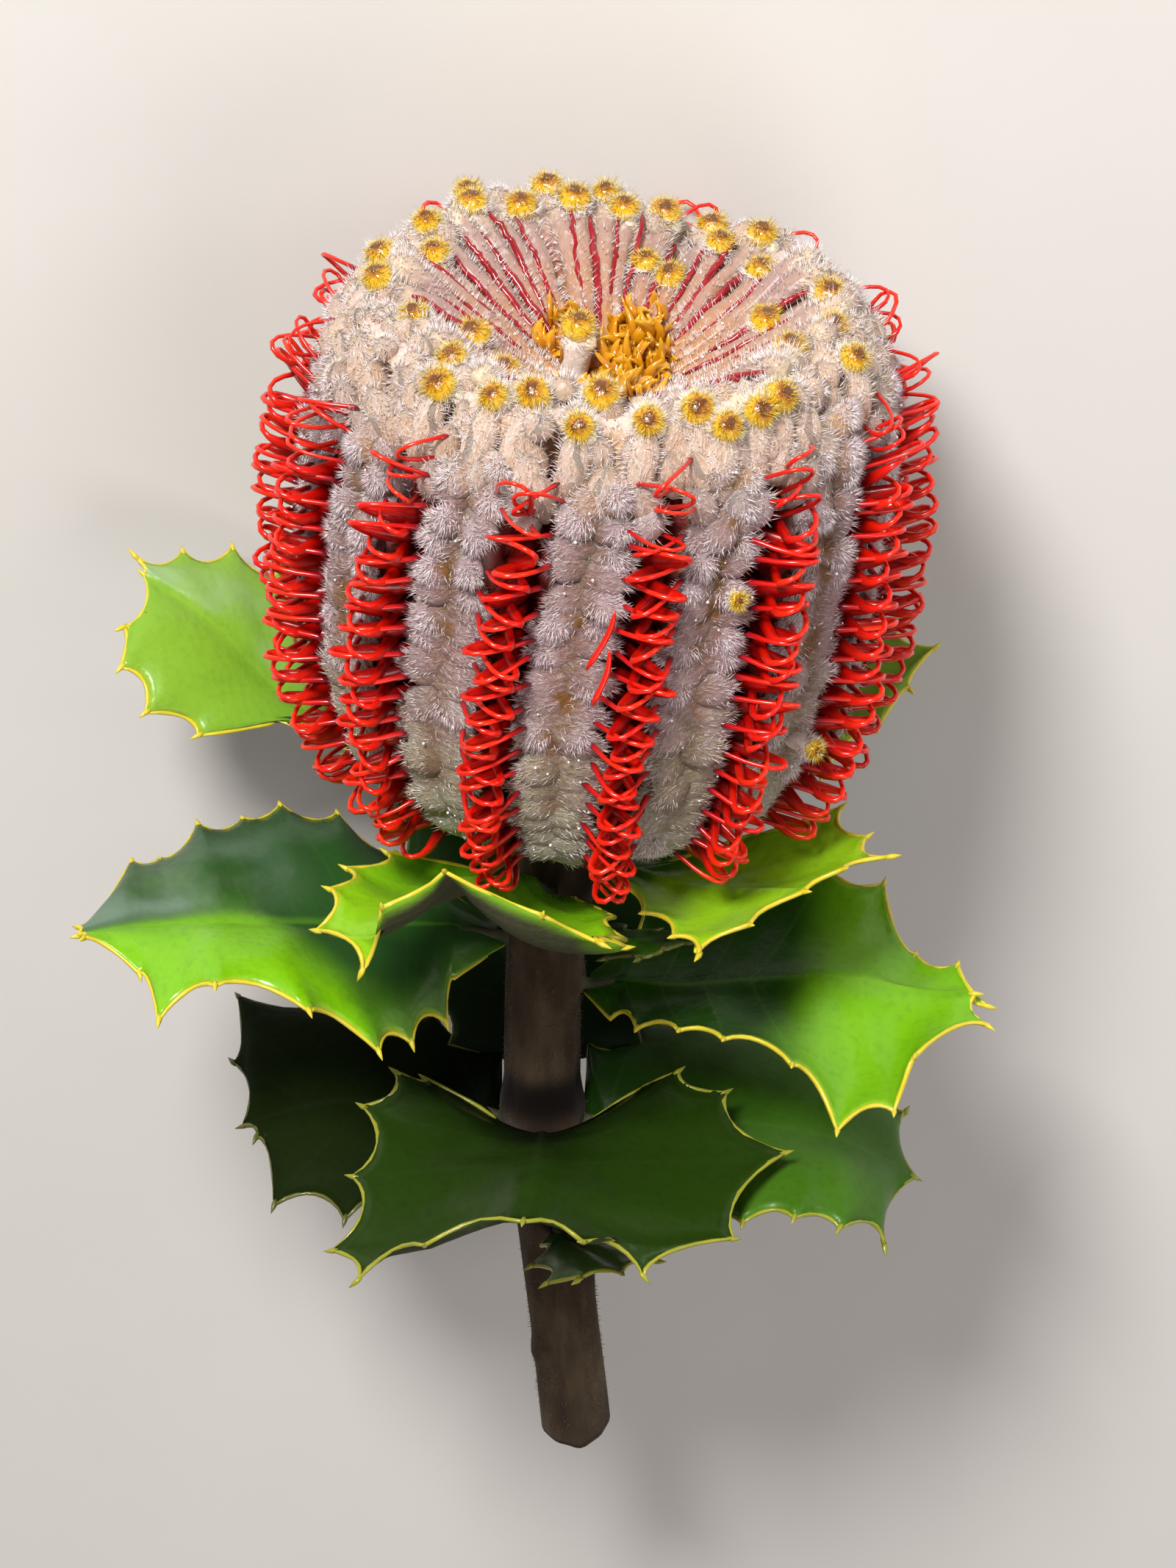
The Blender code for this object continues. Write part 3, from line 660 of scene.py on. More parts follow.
style = {
    "rows": 18,
    "first": 3.2,
    "last": 64.0,
    "sides": 6,
    # side, out and up: from its own side deep in the groove, over to the other side and back to its limb
    "path": [(1.6, -4.6, -2.0), (0.9, -2.2, -1.9), (-0.2, 0.2, -1.7), (-1.3, 2.2, -1.3),
             (-2.2, 3.9, -0.8), (-2.5, 5.2, -0.2), (-2.0, 6.1, 0.3), (-0.9, 6.4, 0.6), (0.3, 5.9, 0.8),
             (1.4, 4.8, 0.8), (2.3, 3.5, 0.7), (3.0, 2.1, 0.6), (3.6, 1.0, 0.5), (4.1, 0.5, 0.4)],
    "radii": [0.62, 0.66, 0.66, 0.62, 0.52, 0.42, 0.37, 0.35, 0.34, 0.33, 0.33, 0.36, 0.42, 0.16],
    "strap": [1.9, 1.9, 1.85, 1.7, 1.4, 1.15, 1.0, 1.0, 1.0, 1.0, 1.0, 1.0, 1.0, 1.0],
    "looser": (46.0, 62.0),         # heights over which the loops lose their order
    "lowStretch": 0.10,
    "wiry": [0.50, 0.44, 0.38, 0.34, 0.31, 0.29, 0.28, 0.27, 0.27, 0.27, 0.27, 0.28, 0.36, 0.14],
    "wiryFrom": 57.0,               # height from which the loops are thin hooks
    "fallen": [((2.8, -41.2, 49.4), (-0.3, -42.2, 41.7)), ((2.1, -41.2, 43.7), (0.4, -42.2, 36.4))],
    "fallenRadii": [0.12, 0.30, 0.36, 0.38, 0.38, 0.36, 0.42, 0.15],
    # from the groove to the tip: a dark red one and a warm one
    "deep": [(0.0, (0.10, 0.001, 0.001)), (0.20, (0.36, 0.002, 0.001)), (0.40, (0.80, 0.006, 0.001)),
             (0.62, (0.90, 0.012, 0.003)), (0.86, (0.50, 0.002, 0.004)), (0.95, (0.16, 0.001, 0.010))],
    "warm": [(0.0, (0.14, 0.001, 0.001)), (0.20, (0.55, 0.004, 0.001)), (0.45, (0.92, 0.024, 0.003)),
             (0.68, (0.94, 0.032, 0.004)), (0.87, (0.55, 0.003, 0.005)), (0.95, (0.20, 0.001, 0.012))],
}


def styleLook():
    red = Look("redStyle", {"Roughness": 0.28, "Specular IOR Level": 0.45, "Coat Weight": 0.35,
                            "Coat Roughness": 0.16})
    along = red.value("along") + (red.noise(600.0) - 0.5) * 0.10
    color = red.mix(red.value("warm"), red.ramp(along, style["deep"]), red.ramp(along, style["warm"]))
    red.feed("Base Color", color)
    return red


def buildStyles():
    red = styleLook()
    model = readModel(tubeModel(style["path"], style["radii"], style["sides"], style["strap"]))
    wiry = readModel(tubeModel(style["path"], style["wiry"], style["sides"]))
    hooks = []
    for column in range(head["columns"]):
        sides, rows = np.meshgrid((-1, 1), np.arange(style["rows"]))
        side, row = sides.ravel(), rows.ravel()
        count = len(side)
        step = (style["last"] - style["first"]) / (style["rows"] - 0.5)
        height = style["first"] + step * (row + 0.5 * (side > 0)) + rng.normal(0, 0.15, count)
        loose = ease(height, *style["looser"])
        height = height + loose * rng.normal(0, 0.8, count)
        bearing = head["firstColumn"] + columnStep * column + rng.normal(0, 0.35, count) * (1 + 2 * loose)
        across, out, up = headAxes(bearing, np.maximum(height, 10.0))
        spot = headSpot(bearing, height, woolRadius(height) - 0.3)
        tilt = rng.normal(0, 0.08, count) + loose * rng.normal(0.05, 0.30, count)
        lean = rng.normal(0, 0.08, count) + loose * rng.normal(0, 0.20, count)
        sideways = across * side[:, None]
        rise = unit(up + sideways * tilt[:, None] + out * lean[:, None])
        face = out - rise * (out * rise).sum(1)[:, None]
        face = unit(face + across * rng.normal(0, 0.10, count)[:, None])
        sway = unit(sideways - rise * (sideways * rise).sum(1)[:, None])
        reach = 1.0 + rng.normal(0, 0.05, count) + style["lowStretch"] * ease(-height, -9.0, -3.0)
        reach = reach * (1.0 + loose * rng.normal(-0.05, 0.14, count))
        narrow = np.clip(woolRadius(height) / head["girth"], 0.80, 1.0) * (1.0 + rng.normal(0, 0.05, count))
        frames = np.stack([sway * narrow[:, None], face * reach[:, None], rise], 1)
        warm = np.clip(rng.normal(0.4, 0.3, count), 0.0, 1.0)
        thin = height > style["wiryFrom"]
        hooks.append((spot[thin], frames[thin], warm[thin]))
        piece = stamp("redStyles%02d" % (column + 1), model, spot[~thin], frames[~thin], [red], None,
                      {"warm": warm[~thin]})
        done(piece, "red_style", "red_loops_%02d" % (column + 1))
    spot, frames, warm = (np.concatenate(part) for part in zip(*hooks))
    done(stamp("wiryHooks", wiry, spot, frames, [red], None, {"warm": warm}), "red_style")


def buildLooseStrands():                                # a few that hang free at the front
    share = np.linspace(0.0, 1.0, len(style["fallenRadii"]))[:, None]
    strands = [np.array(a) * (1 - share) + np.array(b) * share + (0.5, 0.3, 0.0) * np.sin(share * 4.0)
               for a, b in style["fallen"]]
    red = plain("looseRed", (0.80, 0.012, 0.002), 0.28, {"Coat Weight": 0.35})
    done(rods("looseStrands", strands, [style["fallenRadii"]] * len(strands), [red], 8), "red_style")


# crown: soft fingers come up out of the funnel, most of them to a bud, with red lines between

crown = {
    "heart": 6.0,                   # how far from the middle the fingers come out
    "thin": 0.80,
    "full": 1.80,
    "widest": 12.0,                 # degrees between fingers before one more grows there
    "ends": (27.0, 31.0),           # radii at which those without a bud end
    "comb": 430,                    # hairs on each
    "lineRadius": 0.29,
    "lineLift": 1.55,
    # from the heart to the rim
    "flesh": [(0.14, (0.43, 0.17, 0.018)), (0.30, (0.47, 0.21, 0.07)), (0.55, (0.44, 0.235, 0.145)),
              (0.80, (0.42, 0.28, 0.235)), (1.0, (0.72, 0.60, 0.41))],
    "mauve": (0.36, 0.23, 0.23),
    # a painted glint, speckled over the fingers
    "bloom": (0.86, 0.76, 0.72),
    "crimson": ((0.50, 0.006, 0.016), (0.12, 0.001, 0.006)),
}


def crownSpot(bearing, radius, lift):
    height = crownHeight(radius) - 0.45 * np.maximum(0.0, radius - 31.0)
    return headSpot(bearing - head["twist"] / 2, height + lift, radius)


def axisRadius(look):                                   # distance from the crown's middle, 1 near its rim
    middle = tuple(toWorld(headSpot(0.0, 66.0, 0.0)))
    place = look.node("ShaderNodeTexCoord", {}, {}, "Object")
    away = look.node("ShaderNodeVectorMath", {"operation": "SUBTRACT"}, {0: place, 1: middle})
    flat = look.node("ShaderNodeVectorMath", {"operation": "MULTIPLY"}, {0: away, 1: (1.0, 0.0, 1.0)})
    length = look.node("ShaderNodeVectorMath", {"operation": "LENGTH"}, {0: flat}, "Value")
    return length * (1.0 / (30.0 * mm))


def rods(name, paths, radii, looks, sides, shades=None):            # many bent rods as one piece
    bpy.ops.curve.primitive_bezier_curve_add()
    wire = bpy.context.object
    wire.name = name
    wire.data.splines.clear()
    for look in looks:
        wire.data.materials.append(look.material)
    for path, radius, shade in zip(paths, radii, shades or [0] * len(paths)):
        spline = wire.data.splines.new("POLY")
        spline.points.add(len(path) - 1)
        spline.material_index = shade
        spline.use_smooth = True
        for point, place, size in zip(spline.points, toWorld(path), radius):
            point.co = (*place, 1.0)
            point.radius = size
    wire.data.bevel_depth = mm
    wire.data.bevel_resolution = sides // 2 - 2
    wire.data.use_fill_caps = True
    pick(wire)
    bpy.ops.object.convert(target="MESH")
    made = bpy.context.object
    made.name = name
    bpy.ops.object.mode_set(mode="EDIT")
    bpy.ops.mesh.select_all(action="SELECT")
    bpy.ops.mesh.remove_doubles(threshold=0.002 * mm)
    bpy.ops.object.mode_set(mode="OBJECT")
    bpy.ops.object.shade_smooth()
    return made


def fingerPaths(stands):
    share = np.linspace(0.0, 1.0, 15)
    rim = [k for k, place in enumerate(bud["places"]) if place[1] > bud["lone"]]
    rim.sort(key=lambda k: bud["places"][k][0])
    ends = []
    for k, after in zip(rim, rim[1:] + rim[:1]):
        bearing, radius = bud["places"][k]
        ends.append((bearing, radius, stands[k]))
        gap = (bud["places"][after][0] - bearing) % 360.0
        more = int(gap / crown["widest"])
        for extra in range(more):
            ends.append((bearing + gap * ((extra + 1) / (more + 1)), rng.uniform(*crown["ends"]), None))
    paths, radii = [], []
    for bearing, far, stand in ends:
        full = crown["full"] * rng.uniform(0.86, 1.1)
        radius = crown["heart"] + (far - crown["heart"]) * share
        size = crown["thin"] + (full - crown["thin"]) * share ** 0.85
        size = size * (1.0 + 0.09 * np.sin(share * rng.uniform(14, 24) + rng.uniform(0, 6)))
        wave = bearing + 2.4 * np.sin(share * 4.0 + rng.uniform(0, 6)) * (1 - share)
        path = crownSpot(wave, radius, size * 0.25 + rng.uniform(-0.2, 0.6))
        if stand is not None:
            spot, way = stand
            blend = ease(share, 0.60, 1.0)[:, None]
            path = path * (1 - blend) + (spot - way * (0.5 + 9.0 * (1 - share))[:, None]) * blend
        else:
            path = path + np.array([[0.0, 0.0, 1.6]]) * ease(share, 0.5, 1.0)[:, None]
            size = size * np.where(share == 1.0, 0.6, 1.0)
        paths.append(path)
        radii.append(size)
    return [end[0] for end in ends], paths, radii


def combHairs(path, size):                              # roots, ways and lengths on one finger
    count = crown["comb"]
    at = np.where(rng.random(count) < 0.3, rng.uniform(0.82, 1.0, count), rng.uniform(0.02, 0.99, count))
    girth = np.interp(at, np.linspace(0.0, 1.0, len(size)), size)
    ahead = unit(alongPath(at, unit(np.gradient(path, axis=0))))
    side = unit(np.cross(ahead, [[0.0, 0.0, 1.0]]))
    up = np.cross(side, ahead)
    turn = rng.choice([-1.15, 1.15], count) + rng.normal(0.0, 0.22, count)
    turn = np.where(rng.random(count) < 0.25, rng.uniform(-1.4, 1.4, count), turn)
    turn = np.where(at > 0.75, rng.uniform(-3.14, 3.14, count), turn)
    ring = side * np.sin(turn)[:, None] + up * np.cos(turn)[:, None]
    lean = ahead * (0.30 + 0.5 * ease(at, 0.9, 1.0))[:, None] + up * 0.35
    way = ring + lean + rng.normal(0, 0.16, (count, 3))
    length = rng.uniform(0.95, 1.65, count) * (1.0 + 0.30 * ease(at, 0.6, 1.0))
    return alongPath(at, path) + ring * (girth * 0.93)[:, None], way, length


def fleshLook():
    flesh = Look("crownFinger", {"Roughness": 0.5, "Specular IOR Level": 0.45, "Coat Weight": 0.15,
                                 "Coat Roughness": 0.15, "Sheen Weight": 0.2})
    grain = flesh.noise(800.0, 4.0)
    blot = flesh.noise(120.0, 2.0)
    color = flesh.ramp(axisRadius(flesh) + (grain - 0.5) * 0.3, crown["flesh"])
    color = flesh.mix(blot.within(0.45, 0.70) * 0.6, color, crown["mauve"])
    # painted glints speckled in the grain
    flesh.feed("Base Color", flesh.mix(grain.within(0.55, 0.70) * 0.3, color, crown["bloom"]))
    flesh.feed("Roughness", 0.35 + grain * 0.4)
    flesh.bump(grain + blot * 1.5, 1.0, 0.5 * mm)
    return flesh


def redLines(bearings):                                 # one between each two fingers
    lines, sizes = [], []
    share = np.linspace(0.0, 1.0, 33)
    order = sorted(b % 360.0 for b in bearings)
    for bearing, after in zip(order, order[1:] + [order[0] + 360.0]):
        if after - bearing < 4.0 or rng.random() < 0.08:
            continue
        radius = rng.uniform(24.0, 28.5) + (rng.uniform(9.0, 14.0) - 26.0) * share
        wave = (bearing + after) / 2 + rng.normal(0, 0.3, len(share))
        wave = wave + 0.8 * np.sin(share * 5.0 + rng.uniform(0, 6))
        broken = 0.12 * np.sin(share * 19.0 + rng.uniform(0, 6))
        lines.append(crownSpot(wave, radius, crown["lineLift"] + 0.25 * (1 - share) + broken))
        size = crown["lineRadius"] * rng.uniform(0.8, 1.5)
        sizes.append(size * (0.30 + np.sin(math.pi * np.clip(share * 0.92 + 0.04, 0, 1)) ** 0.6))
    return lines, sizes


def buildCrown(stands, looks):
    bearings, paths, radii = fingerPaths(stands)
    comb = [combHairs(path, size) for path, size in zip(paths, radii)]
    done(rods("crownFingers", paths, radii, [fleshLook()], 10), "wool")
    lines, sizes = redLines(bearings)
    red = mottled("crimsonLine", 700.0, 2.0, crown["crimson"], {"Roughness": 0.25, "Coat Weight": 0.3})
    done(rods("crimsonLines", lines, sizes, [red], 6), "red_style")
    roots, ways, lengths = (np.concatenate(part) for part in zip(*comb))
    width = rng.uniform(0.056, 0.082, len(roots))
    tone = rng.choice(3, len(roots), p=[0.82, 0.06, 0.12])              # white, pearl, cream
    done(hairs("crownHairs", roots, ways, lengths, width, tone, looks), "wool")
    return paths, radii


# heart: the wet amber tuft of unopened flowers in the middle

heart = {
    # middle, half width, half depth, spikes
    "tongues": [((5.8, 4.0), 3.9, 8.6, 210), ((-4.4, 8.0), 1.4, 4.4, 38), ((1.5, -2.5), 4.6, 3.2, 40),
                ((4.4, -16.0), 1.5, 9.5, 60)],
    "axis": 2.2,
    "tall": 6.4,
    "rise": 2.0,
    "radii": [0.13, 0.15, 0.17, 0.17, 0.14, 0.11, 0.07, 0.015],         # of a spike, foot to tip
    "flat": 0.55,
    "amber": [(0.0, (0.15, 0.040, 0.001)), (0.34, (0.41, 0.14, 0.002)), (0.66, (0.62, 0.26, 0.004)),
              (1.0, (0.74, 0.40, 0.02))],
}


def heartFloor(x, y):
    return crownHeight(np.hypot(x - heart["axis"], y)) + 0.3


def spikeModel():
    path = [(0.24 * math.sin(2.6 * s), 0.16 * math.sin(4.0 * s), s)
            for s in np.linspace(0.0, 1.0, len(heart["radii"]))]
    points, faces, values = readModel(tubeModel(path, heart["radii"], 6))
    return points * np.where(np.arange(3) == 1, heart["flat"], 1.0), faces, values


def moundModel():
    bpy.ops.mesh.primitive_uv_sphere_add(segments=48, ring_count=24, radius=1.0)
    mound = bpy.context.object
    layer = mound.data.attributes.new("along", "FLOAT", "POINT")
    for vert in mound.data.vertices:
        x, y, z = vert.co
        rough = 0.10 * math.sin(9 * x + 4 * y) * math.sin(8 * y - 5 * x)
        rough += 0.06 * math.sin(19 * x - 13 * z + 3)
        layer.data[vert.index].value = 0.22 + 2.0 * rough
        vert.co = (x * (1 + rough), y * (1 + rough), z * (1 + 3 * rough))
    return readModel(mound)


def amberLook():
    amber = Look("wetAmber", {"Roughness": 0.16, "Specular IOR Level": 0.6, "Coat Weight": 0.4,
                              "Coat Roughness": 0.04})
    lumpy = amber.noise(420.0, 3.0)
    amber.feed("Base Color", amber.ramp(amber.value("along") + (lumpy - 0.5) * 0.9, heart["amber"]))
    amber.bump(lumpy, 0.5, 0.4 * mm)
    return amber


def buildHeart():
    model = spikeModel()
    amber = amberLook()
    spots, ways, talls = [], [], []
    for (x, y), wide, deep, count in heart["tongues"]:
        angle, away = rng.uniform(0, 2 * math.pi, count), np.sqrt(rng.random(count))
        right, back = x + wide * away * np.cos(angle), y + deep * away * np.sin(angle)
        high = heartFloor(right, back) + heart["rise"] * 0.5 * (1 - away ** 2)
        spots.append(np.stack([right, back, high], 1))
        ways.append(np.stack([0.25 * away * np.cos(angle), -0.15 + 0 * away, 1 + 0 * away], 1)
                    + rng.normal(0, 0.40, (count, 3)))
        talls.append(heart["tall"] * rng.uniform(0.30, 1.0, count) ** 1.3 * (1.15 - 0.5 * away ** 2))
    spot, way, tall = np.concatenate(spots), np.concatenate(ways), np.concatenate(talls)
    wide = 4.3 * rng.uniform(0.4, 1.7, len(spot))
    frames = bent(way, rng.uniform(0, 6.3, len(spot))) * np.stack([wide, wide, tall], 1)[:, :, None]
    done(stamp("amberSpikes", model, spot, frames, [amber]), "wool")

    spot, frames = [], []
    for (x, y), wide, deep, _ in heart["tongues"]:
        slope = (heartFloor(x, y + deep) - heartFloor(x, y - deep)) / 2
        spot.append((x, y, float(heartFloor(x, y))))
        frames.append([[wide * 1.1, 0, 0], [0, deep * 1.05, float(slope)], [0, 0, heart["rise"]]])
    done(stamp("amberMound", moundModel(), np.array(spot), np.array(frames), [amber]), "wool")


# buds: golden knobs with a wet dark middle and pale hairs

bud = {
    "radius": 1.92,
    "bristles": 150,
    "collar": 130,
    # bearing from the front to the right, radius on the crown
    "places": [
        (-176, 30), (-167, 28), (-162, 32), (-155, 10), (-151, 27), (-144, 34), (-138, 29),
        (-123, 30), (-113, 26), (-106, 32), (-93, 31), (-83, 18), (-75, 27), (-51, 18),
        (-49, 28), (-43, 33), (-30, 32), (-22, 30), (-9, 34), (-6, 27), (5, 33), (16, 32),
        (21, 35), (29, 34), (35, 33), (63, 24), (63, 33), (76, 28), (98, 28), (100, 20),
        (127, 24), (138, 29), (147, 25), (155, 30), (158, 19), (169, 20), (168, 29), (179, 27),
    ],
    "lone": 16,                     # nearer the middle than this, one has a stalk of its own
    "lift": 1.9,                    # of its middle over the crown
    "loneLift": 6.0,                # how much nearer the camera a lone one stands
    "front": (28, 90, 1.8),         # radius and bearing of the front ones, and how much nearer they stand
    "tilt": [(10, 0.15), (24, 0.25), (30, 0.55), (35, 0.95)],           # radius, how far it leans out
    "stray": [(48, 20.0, 39.5), (24, 47.5, 39.5)],      # bearing, height, radius
    "straySize": 0.55,
    "eye": (0.0, -0.829, 0.559),    # the way to the camera
    "gold": [(0.30, (0.80, 0.68, 0.30)), (0.50, (0.80, 0.54, 0.04)), (0.78, (0.78, 0.46, 0.008)),
             (0.92, (0.42, 0.16, 0.002)), (0.97, (0.14, 0.040, 0.001))],
    "cream": ((0.72, 0.60, 0.33), (0.97, 0.94, 0.80)),
    "stalk": ((0.62, 0.52, 0.44), (0.86, 0.80, 0.76)),
    "stalkLength": 7.0,
    "stalkRadii": [0.8, 0.9, 0.98, 1.0, 0.85],          # as shares of the bud's, foot to bud
}


def budStands():                                        # where each bud sits, and which way it looks
    bearing, radius = np.array(bud["places"], float).T
    lone = radius < bud["lone"]
    within, aside, nearer = bud["front"]
    front = ~lone & (radius < within) & (np.abs(bearing) < aside)
    nearer = lone * bud["loneLift"] + front * nearer
    spot = crownSpot(bearing, radius, bud["lift"]) + nearer[:, None] * np.array(bud["eye"])
    _, out, _ = headAxes(bearing - head["twist"] / 2, 40.0)
    tilt = np.interp(radius, *np.array(bud["tilt"]).T)
    tilt = tilt * (0.55 + 0.45 * np.cos(np.radians(bearing)))
    way = unit(out * tilt[:, None] + (0.0, -0.22, 1.0) + rng.normal(0, 0.09, (len(radius), 3)))
    stands = list(zip(spot, way))
    for angle, height, far in bud["stray"]:
        _, face, rise = headAxes(angle, height)
        stands.append((headSpot(angle, height, far), unit(face + rise * 0.25)))
    return stands


def budModel():
    bpy.ops.mesh.primitive_uv_sphere_add(segments=16, ring_count=12, radius=1.0)
    knob = bpy.context.object
    layer = knob.data.attributes.new("along", "FLOAT", "POINT")
    for vert in knob.data.vertices:
        level = vert.co.z
        layer.data[vert.index].value = (level + 1.0) / 2.0
        dent = 0.04 * math.exp(-((1.0 - level) / 0.10) ** 2)
        angle = math.atan2(vert.co.y, vert.co.x)
        swell = 1.0 + 0.05 * math.cos(4 * angle) * (1 - level * level)
        vert.co = (vert.co.x * swell, vert.co.y * swell, level * 0.95 - dent)
    return readModel(knob)


def budLook():
    gold = Look("goldBud", {"Roughness": 0.25, "Specular IOR Level": 0.6, "Coat Weight": 0.3,
                            "Coat Roughness": 0.06})
    lumpy = gold.noise(1100.0, 3.0)
    gold.feed("Base Color", gold.ramp(gold.value("along") + (lumpy - 0.5) * 0.22, bud["gold"]))
    gold.bump(lumpy, 0.9, 0.4 * mm)
    return gold


def budHairs(place, way, size, axes):                   # gold bristles on one bud, fur round its foot
    count = bud["bristles"]
    turn, level = rng.uniform(0, 6.3, count), rng.uniform(0.0, 1.0, count) ** 0.8 * 0.97
    ring = axes[0] * np.cos(turn)[:, None] + axes[1] * np.sin(turn)[:, None]
    top = level > 0.85
    roots = [place + size * (ring * np.sqrt(1 - level ** 2)[:, None] + way * level[:, None]) * 0.96]
    ways = [ring + way * (0.9 * level + 1.5 * top)[:, None] + rng.normal(0, 0.16, (count, 3))]
    lengths = [rng.uniform(0.75, 1.45, count) * np.where(top, 0.6, 1.0)]
    widths = [rng.uniform(0.050, 0.074, count)]
    tones = [(rng.random(count) < np.where(level < 0.35, 0.8, 0.3)).astype(int)]
    count = bud["collar"]
    turn, level = rng.uniform(0, 6.3, count), rng.uniform(-1.6, 0.10, count)
    ring = axes[0] * np.cos(turn)[:, None] + axes[1] * np.sin(turn)[:, None]
    roots.append(place + size * (ring * 0.93 + way * level[:, None] * 0.9))
    ways.append(ring + way * 0.55 + rng.normal(0, 0.18, (count, 3)))
    lengths.append(rng.uniform(0.8, 1.6, count))
    widths.append(rng.uniform(0.045, 0.070, count))
    tones.append(rng.choice([2, 3, 4], count, p=[0.6, 0.2, 0.2]))
    return [np.concatenate(part) for part in (roots, ways, lengths, widths, tones)]


def addCreamBalls(spot, way, size, frames):             # one of wool under the front of each bud
    count = len(spot)
    bpy.ops.mesh.primitive_uv_sphere_add(segments=10, ring_count=7, radius=1.0)
    ball = readModel(bpy.context.object)
    low = unit(np.array([[0.62, -0.45, -0.1]]) + rng.normal(0, 0.25, (count, 3)))
    under = spot + low * (size * 0.65)[:, None] - way * (size * 0.70)[:, None]
    cream = Look("creamWool", {"Roughness": 0.8, "Sheen Weight": 0.3})
    grain = cream.noise(1200.0, 3.0)
    cream.feed("Base Color", cream.mix(grain.within(0.3, 0.7), *bud["cream"]))
    cream.bump(grain, 0.8, 0.4 * mm)
    girth = size[:, None, None] * rng.uniform(0.48, 0.68, (count, 1, 1))
    done(stamp("creamBalls", ball, under, frames * girth, [cream]), "wool")


def addBudStalks(spot, way, size):                      # short ones, for the buds that no finger carries
    share = np.linspace(0.0, 1.0, len(bud["stalkRadii"]))
    placed = len(bud["places"])
    lone = [k for k in range(len(spot)) if k >= placed or bud["places"][k][1] <= bud["lone"]]
    paths = [spot[k] - way[k] * (bud["stalkLength"] * (1 - share))[:, None] - way[k] * 0.5 for k in lone]
    radii = [size[k] * np.array(bud["stalkRadii"]) for k in lone]
    pale = Look("budStalk", {"Roughness": 0.85, "Sheen Weight": 0.3})
    grain = pale.noise(900.0, 3.0)
    pale.feed("Base Color", pale.mix(grain, *bud["stalk"]))
    pale.bump(grain, 0.6, 0.4 * mm)
    done(rods("budStalks", paths, radii, [pale], 10), "wool")


def buildBuds(stands, looks):
    spot, way = (np.array(part) for part in zip(*stands))
    count = len(spot)
    size = bud["radius"] * rng.uniform(0.85, 1.12, count)
    size[len(bud["places"]):] *= bud["straySize"]
    frames = bent(way, rng.uniform(0, 6.3, count))
    done(stamp("goldenBuds", budModel(), spot, frames * size[:, None, None], [budLook()]), "wool")
    addCreamBalls(spot, way, size, frames)
    addBudStalks(spot, way, size)
    gold = [plain("bristleGold", (0.82, 0.55, 0.03), 0.35), plain("bristlePale", (0.93, 0.82, 0.38), 0.35)]
    every = zip(*[budHairs(*one) for one in zip(spot, way, size, frames)])
    root, way, length, width, tone = (np.concatenate(part) for part in every)
    done(hairs("budBristles", root, way, length, width, tone, gold + looks[:3]), "wool")


# droplets: tiny ones all over the wool and the crown, opaque near-white beads that stand in as painted
# glints

droplet = {"wool": 280, "finger": 4, "size": (0.10, 0.22)}          # on the wool, on each finger


def buildDroplets(sites, fingers):
    who = rng.integers(0, len(sites["spot"]), droplet["wool"])
    root, away = onLimb(sites, who, rng.uniform(0.3, 0.95, len(who)), rng.normal(0, 0.5, len(who)), 0.0)
    places = [root + away * rng.uniform(0.4, 1.0, (len(who), 1))]
    count = droplet["finger"]
    for path, size in zip(*fingers):
        at = rng.uniform(0.1, 0.9, count)
        lift = np.interp(at, np.linspace(0.0, 1.0, len(size)), size) + 0.1
        aside = [rng.normal(0, 0.5, count), rng.normal(0, 0.5, count)]
        places.append(alongPath(at, path) + np.stack([*aside, lift], 1))
    places = np.concatenate(places)
    bpy.ops.mesh.primitive_uv_sphere_add(segments=6, ring_count=4, radius=1.0)
    ball = readModel(bpy.context.object)
    size = rng.uniform(*droplet["size"], len(places))
    frames = np.eye(3)[None] * size[:, None, None]
    # painted glints: glossy near-white, not clear
    glintWhite = plain("dropletGlint", (0.97, 0.97, 1.0), 0.03, {"Specular IOR Level": 1.0, "Coat Weight": 1.0})
    done(stamp("droplets", ball, places, frames, [glintWhite]), "wool")


# rim tufts: limbs that have let go, between the buds and the columns

tuft = {
    # count, heights, rise
    "rings": [(52, 67.0, 70.0, 1.5), (56, 63.5, 67.5, 1.1), (52, 60.0, 64.0, 0.8)],
    "inside": 78,
    "fingersFrom": 27,              # a bud farther out than this stands on a furry finger
    "fingerFoot": 61.5,
    "hairs": 95,
    "between": 3500,                # hairs on the body between them
    "crest": 1000,                  # and on top of the rim
}


def looseLimbs(spot, way, roll, length, size, flat, level, pale):
    turned = bent(way, roll)
    every = np.ones(len(way))
    return {"spot": spot, "way": way, "face": turned[:, 0], "rise": turned[:, 1], "length": length,
            "thick": size, "deep": size * flat, "level": every * level, "pale": every * pale}


